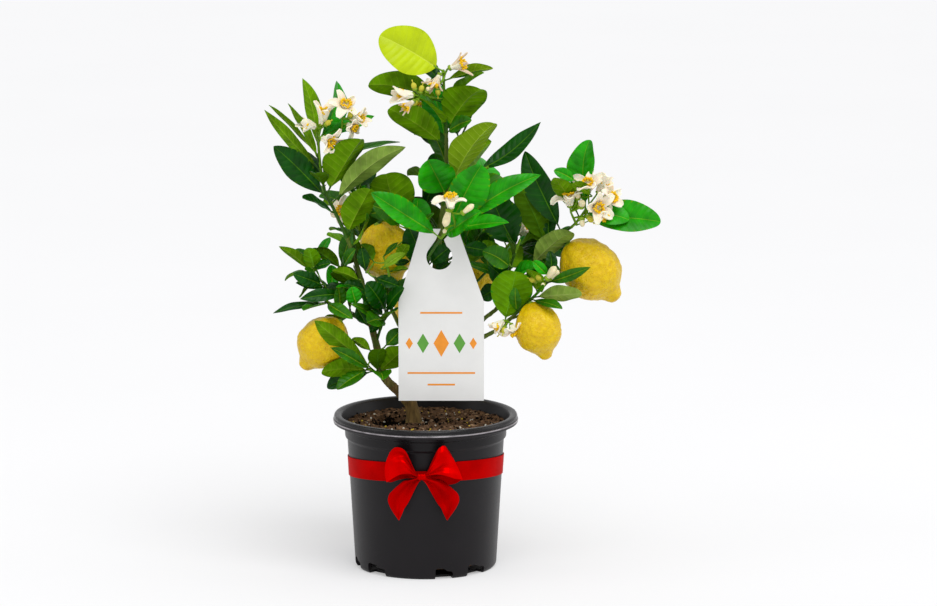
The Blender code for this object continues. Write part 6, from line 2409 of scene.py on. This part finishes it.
BOW_SIDES = (
    BowSide("left", -1, 1.0, 3.2, (0.8, -0.6),
            ((2, 0, 2.5), (6, 4, 4.5), (9, 7, 10.5), (12.5, 9, 19), (17, 10, 29), (22, 10, 33.5),
             (28, 8, 34), (32, 6, 31), (35.5, 3, 25)),
            ((2, 0, -1), (6, 4, 1.5), (10, 8, 3.5), (14.5, 11, 5), (19, 12, 5.5), (24, 12, 4.5),
             (29, 10, 1.5), (34, 6, -2.5), (38, 2, -6)),
            ((2, 0, -3), (7, 0, -2.6), (12, 0, -2.4), (17, 0, -2.6), (22, 0, -3.4), (27, 0, -4.8),
             (31, 0, -6.2), (35, 1, -7), (38, 2, -6))),
    BowSide("right", 1, 1.1, 1.2, (-0.9, 0.9),
            ((2, 0, 2.5), (6, 4, 6), (9.5, 7, 14), (13.5, 9, 23), (18, 10, 32), (22.5, 9, 35.5),
             (25.5, 7, 35), (28, 5, 31), (30.5, 3, 26)),
            ((2, 0, -1), (7, 4, 1.5), (12, 8, 3.5), (18, 11, 4.5), (24, 12, 4), (30, 11, 2), (35, 8, -0.5),
             (40, 5, -2), (44, 2, -3)),
            ((2, 0, -3), (8, 0, -5), (14, 0, -6.5), (20, 0, -8), (26, 0, -9.5), (31, 0, -9.5), (36, 0, -8.5),
             (40, 1, -6.5), (44, 2, -3))))


@dataclass
class RibbonBow:
    """The satin ribbon round the pot, drawn together behind a knot with two loops and two tails."""

    pot: NurseryPot
    off: float = 0.5
    middle: float = 113.4
    lift: float = 9.0
    slope: float = 0.012
    width: float = 21.5
    drawn_width: float = 7.0
    drawn_deg: Span = (8.0, 28.0)
    thick: float = 0.7
    knot_x: float = -3.5
    knot_up: float = 119.0
    knot_size: Point = (12.5, 10.0, 9.5)
    tail_outer: Route = (
        (1.5, 2, -0.5), (8, 2, -2), (14, 1.5, -3.5), (20, 0, -5), (27, -1, -11), (31, -1.5, -15),
        (35.4, -2, -20), (36.8, -1, -27), (34, 1, -34.5), (30, 2, -41), (25.2, 3, -47.4))
    tail_inner: Route = (
        (1, 2, -4), (3, 1.5, -5.5), (4.7, 1, -8), (7, 0.5, -12.5), (10, 0, -19), (13, -1, -25.5),
        (16, -1, -31), (19.2, 0, -35.5), (21.3, 2, -40.5), (23.2, 2, -44.5), (24.9, 3, -47.8))

    def wall(self, height: float) -> float:
        """The radius of the ribbon's seat on the pot at a height."""
        return self.pot.outer_radius(min(height, self.pot.height - self.pot.collar)) + self.off

    def knot(self) -> Vector:
        """The middle of the knot."""
        return Vector((self.knot_x, -(self.wall(self.knot_up) + 1.2 + self.knot_size[1] / 2), self.knot_up))

    def hung(self, place: Vector, sign: int, least: float) -> Vector:
        """A place beside the knot, moved towards the viewer where it would sink into the pot.

        Args:
            place: outward, towards the viewer and up from the knot's middle.
            sign: -1 for the left side, 1 for the right.
            least: how far from the pot's wall it has to stay.

        Returns:
            The place.
        """
        point = self.knot() + Vector((sign * place.x, -place.y, place.z))
        seat = self.wall(point.z) + least
        if point.z > self.pot.height - self.pot.collar - 1:
            seat = self.pot.collar_r + self.off + least
        if abs(point.x) < seat and point.y > -math.sqrt(seat * seat - point.x * point.x):
            point = Vector((point.x, -math.sqrt(seat * seat - point.x * point.x), point.z))
        return point

    def add_sheet(self, name: str, rows: list[list[Vector]], node: str, first: Finish, second: Finish
                  ) -> None:
        """Makes a piece of ribbon.

        Args:
            name: the piece's.
            rows: its points, row by row.
            node: the solid that it stands for.
            first: the finish of its first side.
            second: the finish of its other side.
        """
        points, faces = thickened(rows, self.thick)
        count = (len(rows) - 1) * (len(rows[0]) - 1)
        shell = Shell()
        shell.add(points, faces, [first] * count + [second] * count + [SATIN] * (len(faces) - 2 * count))
        piece(shell.build(name), [node])

    def build(self) -> None:
        """Makes the band and the bow."""
        self.build_band()
        self.build_knot()
        for side in BOW_SIDES:
            self.build_loop(side)
            self.build_tail(side)

    def drawn_share(self, angle_deg: float) -> float:
        """How far the band is drawn together.

        Args:
            angle_deg: the place, as an angle from the knot.

        Returns:
            Its width there as a share of its full width.
        """
        near, far = self.drawn_deg
        narrow = self.drawn_width / self.width
        return narrow + (1 - narrow) * float(smooth_step((angle_deg - near) / (far - near)))

    def build_band(self) -> None:
        """Makes the band, with folds that run in to the knot."""
        knot = math.atan2(-self.pot.shoulder_r, self.knot_x)
        steps, lines = 360, 15
        rows = []
        for step in range(steps):
            angle = math.tau * step / steps
            off = abs(math.degrees((angle - knot + math.pi) % math.tau - math.pi))
            share = self.drawn_share(off)
            row = []
            for line in range(lines):
                spot = 2 * line / (lines - 1) - 1
                height = self.middle + spot * self.width / 2 * share - self.lift * math.sin(angle)
                height += self.slope * self.pot.shoulder_r * math.cos(angle) - 4.0 * (1 - share)
                fold = (1 - share) * 0.9 * (1 + math.cos(spot * 9.0))
                ripple = 0.22 * (1 + math.sin(3 * angle + spot * 2.5)) * math.exp(-off / 60)
                radius = self.wall(height) + self.thick / 2 + fold + ripple
                row.append(Vector((*polar(radius, angle), height)))
            rows.append(row)
        shell = Shell()
        # the band takes the darker copy of the satin: painted shade
        shell.add(*thickened([*rows, rows[0]], self.thick), SATIN_BAND_SHADED)
        piece(shell.build("band"), ["ribbon_band"])

    def build_knot(self) -> None:
        """Makes the knot, a wrapped pad with creases that run over it."""
        wide, deep, tall = self.knot_size
        place = self.knot()
        slices, steps, square = 32, 40, 2.6
        rows = []
        for i in range(slices + 1):
            across = -math.cos(math.pi * i / slices)
            out = (1 - abs(across) ** 3.2) ** 0.5
            waist = 0.82 + 0.18 * abs(across) ** 1.5
            row = []
            for j in range(steps):
                angle = math.tau * j / steps
                crease = 1 + 0.07 * math.cos(across * 11 + 0.8 * math.sin(angle)) * out
                y, z = math.cos(angle), math.sin(angle)
                round_off = (abs(y) ** square + abs(z) ** square) ** (-1 / square)
                y, z = deep / 2 * y * round_off, tall / 2 * z * round_off
                row.append((place.x + across * wide / 2, place.y - y * out * crease,
                            place.z + z * out * crease * waist))
            rows.append(row)
        points = np.array([*(spot for row in rows[1:-1] for spot in row), rows[0][0], rows[-1][0]])
        quads, *caps = (faces[:, ::-1] for faces in capped_faces(slices - 1, steps))
        shell = Shell()
        shell.add(points, quads, SATIN, caps)
        piece(shell.build("knot", 80.0), ["bow_knot"])

    def build_loop(self, side: BowSide) -> None:
        """Makes a loop: the ribbon runs out in front, turns over and comes back behind, a little lower.

        Args:
            side: left or right.
        """
        top, lip, under = (spread(edge, 6) for edge in (side.top, side.lip, side.under))
        last, (start, change) = len(top) - 1, side.crease
        rows = []
        for step in (*range(last + 1), *range(last - 1, -1, -1)):
            is_back = len(rows) > last
            far = step / last
            line = []
            for number in range(25):
                spot = 2 * number / 24 - 1
                place = (under if is_back else lip)[step].lerp(top[step], (spot + 1) / 2)
                place.x += side.bulge * far ** 3 * (1 - spot * spot)
                pleat = 1.5 * (1 - far) * math.cos(spot * 8.5 + 0.7 * side.sign)
                swell = 3.0 * math.sin(math.pi * min(1.0, far * 1.1)) * (1 - spot * spot)
                crease = 5.5 * math.exp(-((spot - start - change * far) / 0.34) ** 2)
                place.y += pleat + swell - crease * math.sin(math.pi * far)
                if is_back:
                    place.y = -2.0 - 0.25 * place.y
                    place.z -= 4.0 * math.sin(math.pi * far) * (spot + 1) / 2
                line.append(self.hung(place, side.sign, 1.6))
            rows.append(line)
        # the inner faces of each loop take the darker satin: painted shade
        first, second = (SATIN_INSIDE_SHADED, SATIN) if side.sign < 0 else (SATIN, SATIN_INSIDE_SHADED)
        self.add_sheet(f"loop_{side.name}", rows, f"bow_loop_{side.name}", first, second)

    def build_tail(self, side: BowSide) -> None:
        """Makes a tail, which spreads from the knot and is cut to a point.

        Args:
            side: left or right.
        """
        outer, inner = spread(self.tail_outer, 6), spread(self.tail_inner, 6)
        rows = []
        for number, (start, end) in enumerate(zip(outer, inner)):
            share = number / (len(outer) - 1)
            line = []
            for part in range(21):
                spot = part / 20
                place = end.lerp(start, spot)
                place.x *= side.tail_stretch
                fold = 4.0 * (1 - 0.6 * share) * math.cos(spot * 7.0 + 0.6 + side.sign * 0.5)
                fold *= min(1.0, 5 * share)
                place.y += fold + 2.0 * math.sin(math.pi * spot) * share
                line.append(self.hung(place, side.sign, 4.4 + fold))
            rows.append(line)
        # the tails take the darker copy of the satin: painted shade
        self.add_sheet(f"tail_{side.name}", rows, f"bow_tail_{side.name}", SATIN_BAND_SHADED, SATIN_BAND_SHADED)


@dataclass
class HangTag:
    """The card slipped over the front twig: a tapering board with a round hole and a slot above it.

    Attributes:
        middle_x: the place of its middle.
        plane_y: how far it is towards the viewer.
        foot: the height of its lower edge.
        shoulder: how far up it starts to taper.
        hole: the middle of its hole, across from the card's middle and up from its foot.
        hole_arc_deg: where the hole's edge starts and ends, at the slot.
        left_prong: the slot's left edge, at the top and at the hole.
        right_prong: its right edge.
        rule_thick: the height of a printed line.
        motifs: for each lozenge, its middle across and up, its width, its height and its ink.
        rules: for each printed line, its middle across and up and its width.
    """

    middle_x: float = 17.5
    plane_y: float = -37.0
    foot: float = 192.0
    height: float = 191.0
    shoulder: float = 110.0
    width: float = 93.5
    top_width: float = 44.0
    thick: float = 0.9
    hole: Span = (-2.0, 160.0)
    hole_r: float = 14.2
    hole_arc_deg: Span = (56.0, -224.0)
    left_prong: Span = (-0.5, -6.0)
    right_prong: Span = (14.5, 3.0)
    rule_thick: float = 2.0
    ink_stand: float = 0.05
    motifs: tuple[tuple[float, float, float, float, Finish], ...] = (
        (0.0, 64.0, 17.0, 30.0, ORANGE_INK), (-20.0, 64.0, 13.0, 22.0, GREEN_INK),
        (20.0, 64.0, 13.0, 22.0, GREEN_INK), (-35.0, 64.0, 8.0, 13.0, ORANGE_INK),
        (35.0, 64.0, 8.0, 13.0, ORANGE_INK))
    rules: tuple[Point, ...] = ((0.0, 98.0, 46.0), (0.0, 31.0, 74.0), (0.0, 18.0, 30.0))

    def outline(self, hole_steps: int) -> list[Span]:
        """The card's outline, anticlockwise from its lower left corner, in from the slot and round the hole.

        Args:
            hole_steps: points round the hole.

        Returns:
            Pairs of places across from its middle and up from its foot.
        """
        half, top_half = self.width / 2, self.top_width / 2
        top, slot = self.height, self.height - 12
        right = [(-half, 0), (half, 0), (half, self.shoulder), (top_half - 3, top - 2), (top_half - 5, top),
                 (self.right_prong[0], top), (self.right_prong[1], slot)]
        left = [(self.left_prong[1], slot), (self.left_prong[0], top), (1 - top_half, top),
                (-2 - top_half, top - 3), (-3 - top_half, top - 8), (-half, self.shoulder)]
        first, last = (math.radians(a) for a in self.hole_arc_deg)
        arc = []
        for i in range(hole_steps + 1):
            across, up = polar(self.hole_r, first + (last - first) * i / hole_steps)
            arc.append((self.hole[0] + across, self.hole[1] + up))
        return [*right, *arc, *left]

    def board(self) -> Shape:
        """The card with room round it, for the growing rule.

        Returns:
            Its points and faces.
        """
        outline = self.outline(20)
        points = [Vector((self.middle_x + across, self.plane_y + depth, self.foot + up))
                  for depth in (-RULE.clearance, RULE.clearance) for across, up in outline]
        return points, prism_faces(len(outline))

    def add_plate(self, name: str, outline: Sequence[Span], front: float, thick: float, look: Finish,
                  nodes: Iterable[str] = ()) -> None:
        """Adds a flat plate in the card's plane.

        Args:
            name: the piece's.
            outline: its corners, across and up.
            front: how far its middle stands in front of the card's.
            thick: its thickness.
            look: its finish.
            nodes: the solids that it stands for.
        """
        curve = bpy.data.curves.new(name, "CURVE")
        curve.dimensions = "2D"
        curve.fill_mode = "BOTH"
        curve.extrude = thick / 2 * MM
        spline = curve.splines.new("POLY")
        spline.points.add(len(outline) - 1)
        for spot, (across, up) in zip(spline.points, outline):
            spot.co = (across * MM, up * MM, 0, 1)
        spline.use_cyclic_u = True
        made = placed(name, curve)
        mesh = final_mesh(made)
        bpy.data.objects.remove(made)
        move = Matrix.Translation(Vector((self.middle_x, self.plane_y - front, self.foot)) * MM)
        mesh.transform(move @ Matrix.Rotation(math.radians(90), 4, "X"))
        mesh.materials.clear()
        mesh.materials.append(look.material())
        piece(placed(name, mesh), nodes)

    def build(self) -> None:
        """Makes the card and its plain print."""
        self.add_plate("tag_card", self.outline(72), 0.0, self.thick, CARD, ["tag"])
        front = self.thick / 2 + self.ink_stand / 2
        for number, (middle, up, wide, tall, look) in enumerate(self.motifs):
            x, z = wide / 2, tall / 2
            lozenge = [(middle, up - z), (middle + x, up), (middle, up + z), (middle - x, up)]
            self.add_plate(f"tag_lozenge_{number}", lozenge, front, self.ink_stand, look)
        tall = self.rule_thick / 2
        for number, (middle, up, wide) in enumerate(self.rules):
            left, right = middle - wide / 2, middle + wide / 2
            rule = [(left, up - tall), (right, up - tall), (right, up + tall), (left, up + tall)]
            self.add_plate(f"tag_rule_{number}", rule, front, self.ink_stand, ORANGE_INK)


@dataclass
class Studio:
    """The pale floor, the soft lights and the camera."""

    target: Point = (0.0473, 0.0, 0.294)
    distance: float = 5.6
    elevation_deg: float = 10.5
    sensor: float = 36.0
    lens: float = 36.0 * 5091.0 / 937.0
    floor_size: float = 26.0
    sun: float = 1.7
    sun_angle_deg: float = 45.0
    sun_from: Point = (0.32, -0.7, 1.25)
    strips: tuple[tuple[str, Point, float, float], ...] = (
        ("left_strip", (-1.9, -0.6, 1.5), 1.2, 6.0), ("right_strip", (1.9, 0.2, 1.2), 1.2, 5.0))
    surround: tuple[Colour, float] = ((0.99, 0.99, 1.0), 0.66)

    def build(self) -> None:
        """Makes the floor, the lights and the camera."""
        self.build_floor()
        self.add_sun()
        for name, place, size, power in self.strips:
            self.add_strip(name, place, size, power)
        self.set_world()
        self.set_camera()

    def build_floor(self) -> None:
        """Makes the floor."""
        bm = bmesh.new()
        bmesh.ops.create_grid(bm, x_segments=8, y_segments=8, size=self.floor_size / 2)
        mesh = bpy.data.meshes.new("floor")
        bm.to_mesh(mesh)
        bm.free()
        mesh.materials.append(FLOOR.material())
        placed("floor", mesh)

    def add_strip(self, name: str, place: Point, size: float, power: float) -> None:
        """Adds a soft light that faces the plant.

        Args:
            name: its name.
            place: in metres.
            size: its side in metres.
            power: in watts.
        """
        light = bpy.data.lights.new(name, "AREA")
        light.size, light.energy = size, power
        obj = placed(name, light)
        obj.location = place
        obj.rotation_euler = (Vector(self.target) - Vector(place)).to_track_quat("-Z", "Y").to_euler()

    def add_sun(self) -> None:
        """Adds the broad, even light from above on the right."""
        light = bpy.data.lights.new("sky_panel", "SUN")
        light.energy, light.angle = self.sun, math.radians(self.sun_angle_deg)
        way = -Vector(self.sun_from)
        placed("sky_panel", light).rotation_euler = way.to_track_quat("-Z", "Y").to_euler()

    def set_world(self) -> None:
        """Sets an even pale surround."""
        world = bpy.data.worlds.new("studio")
        world.use_nodes = True
        back = world.node_tree.nodes["Background"]
        colour, strength = self.surround
        back.inputs["Color"].default_value = (*colour, 1.0)
        back.inputs["Strength"].default_value = strength
        bpy.context.scene.world = world
        bpy.context.scene.view_settings.view_transform = "Standard"

    def set_camera(self) -> None:
        """Sets the camera at the photograph's angle."""
        camera = bpy.data.cameras.new("camera")
        camera.sensor_width, camera.lens, camera.clip_end = self.sensor, self.lens, 60.0
        obj = placed("camera", camera)
        lift = math.radians(self.elevation_deg)
        obj.location = Vector(self.target) + self.distance * Vector((0, -math.cos(lift), math.sin(lift)))
        obj.rotation_euler = (math.pi / 2 - lift, 0, 0)
        bpy.context.scene.camera = obj


def main() -> None:
    """Builds the plant, its pot and what is tied to them, and then the studio."""
    logging.basicConfig(level=logging.INFO, format="%(message)s")
    Studio().build()
    pot = NurseryPot()
    pot.build()
    PottingMix(pot).build()
    RibbonBow(pot).build()
    tag = HangTag()
    tag.build()
    growth = Growth(tag.board())
    growth.grow()
    Timber(growth).build()
    for name in SPRAYS:
        FoliageMass(name, growth).build()
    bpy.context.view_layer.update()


if __name__ == "__main__":
    main()
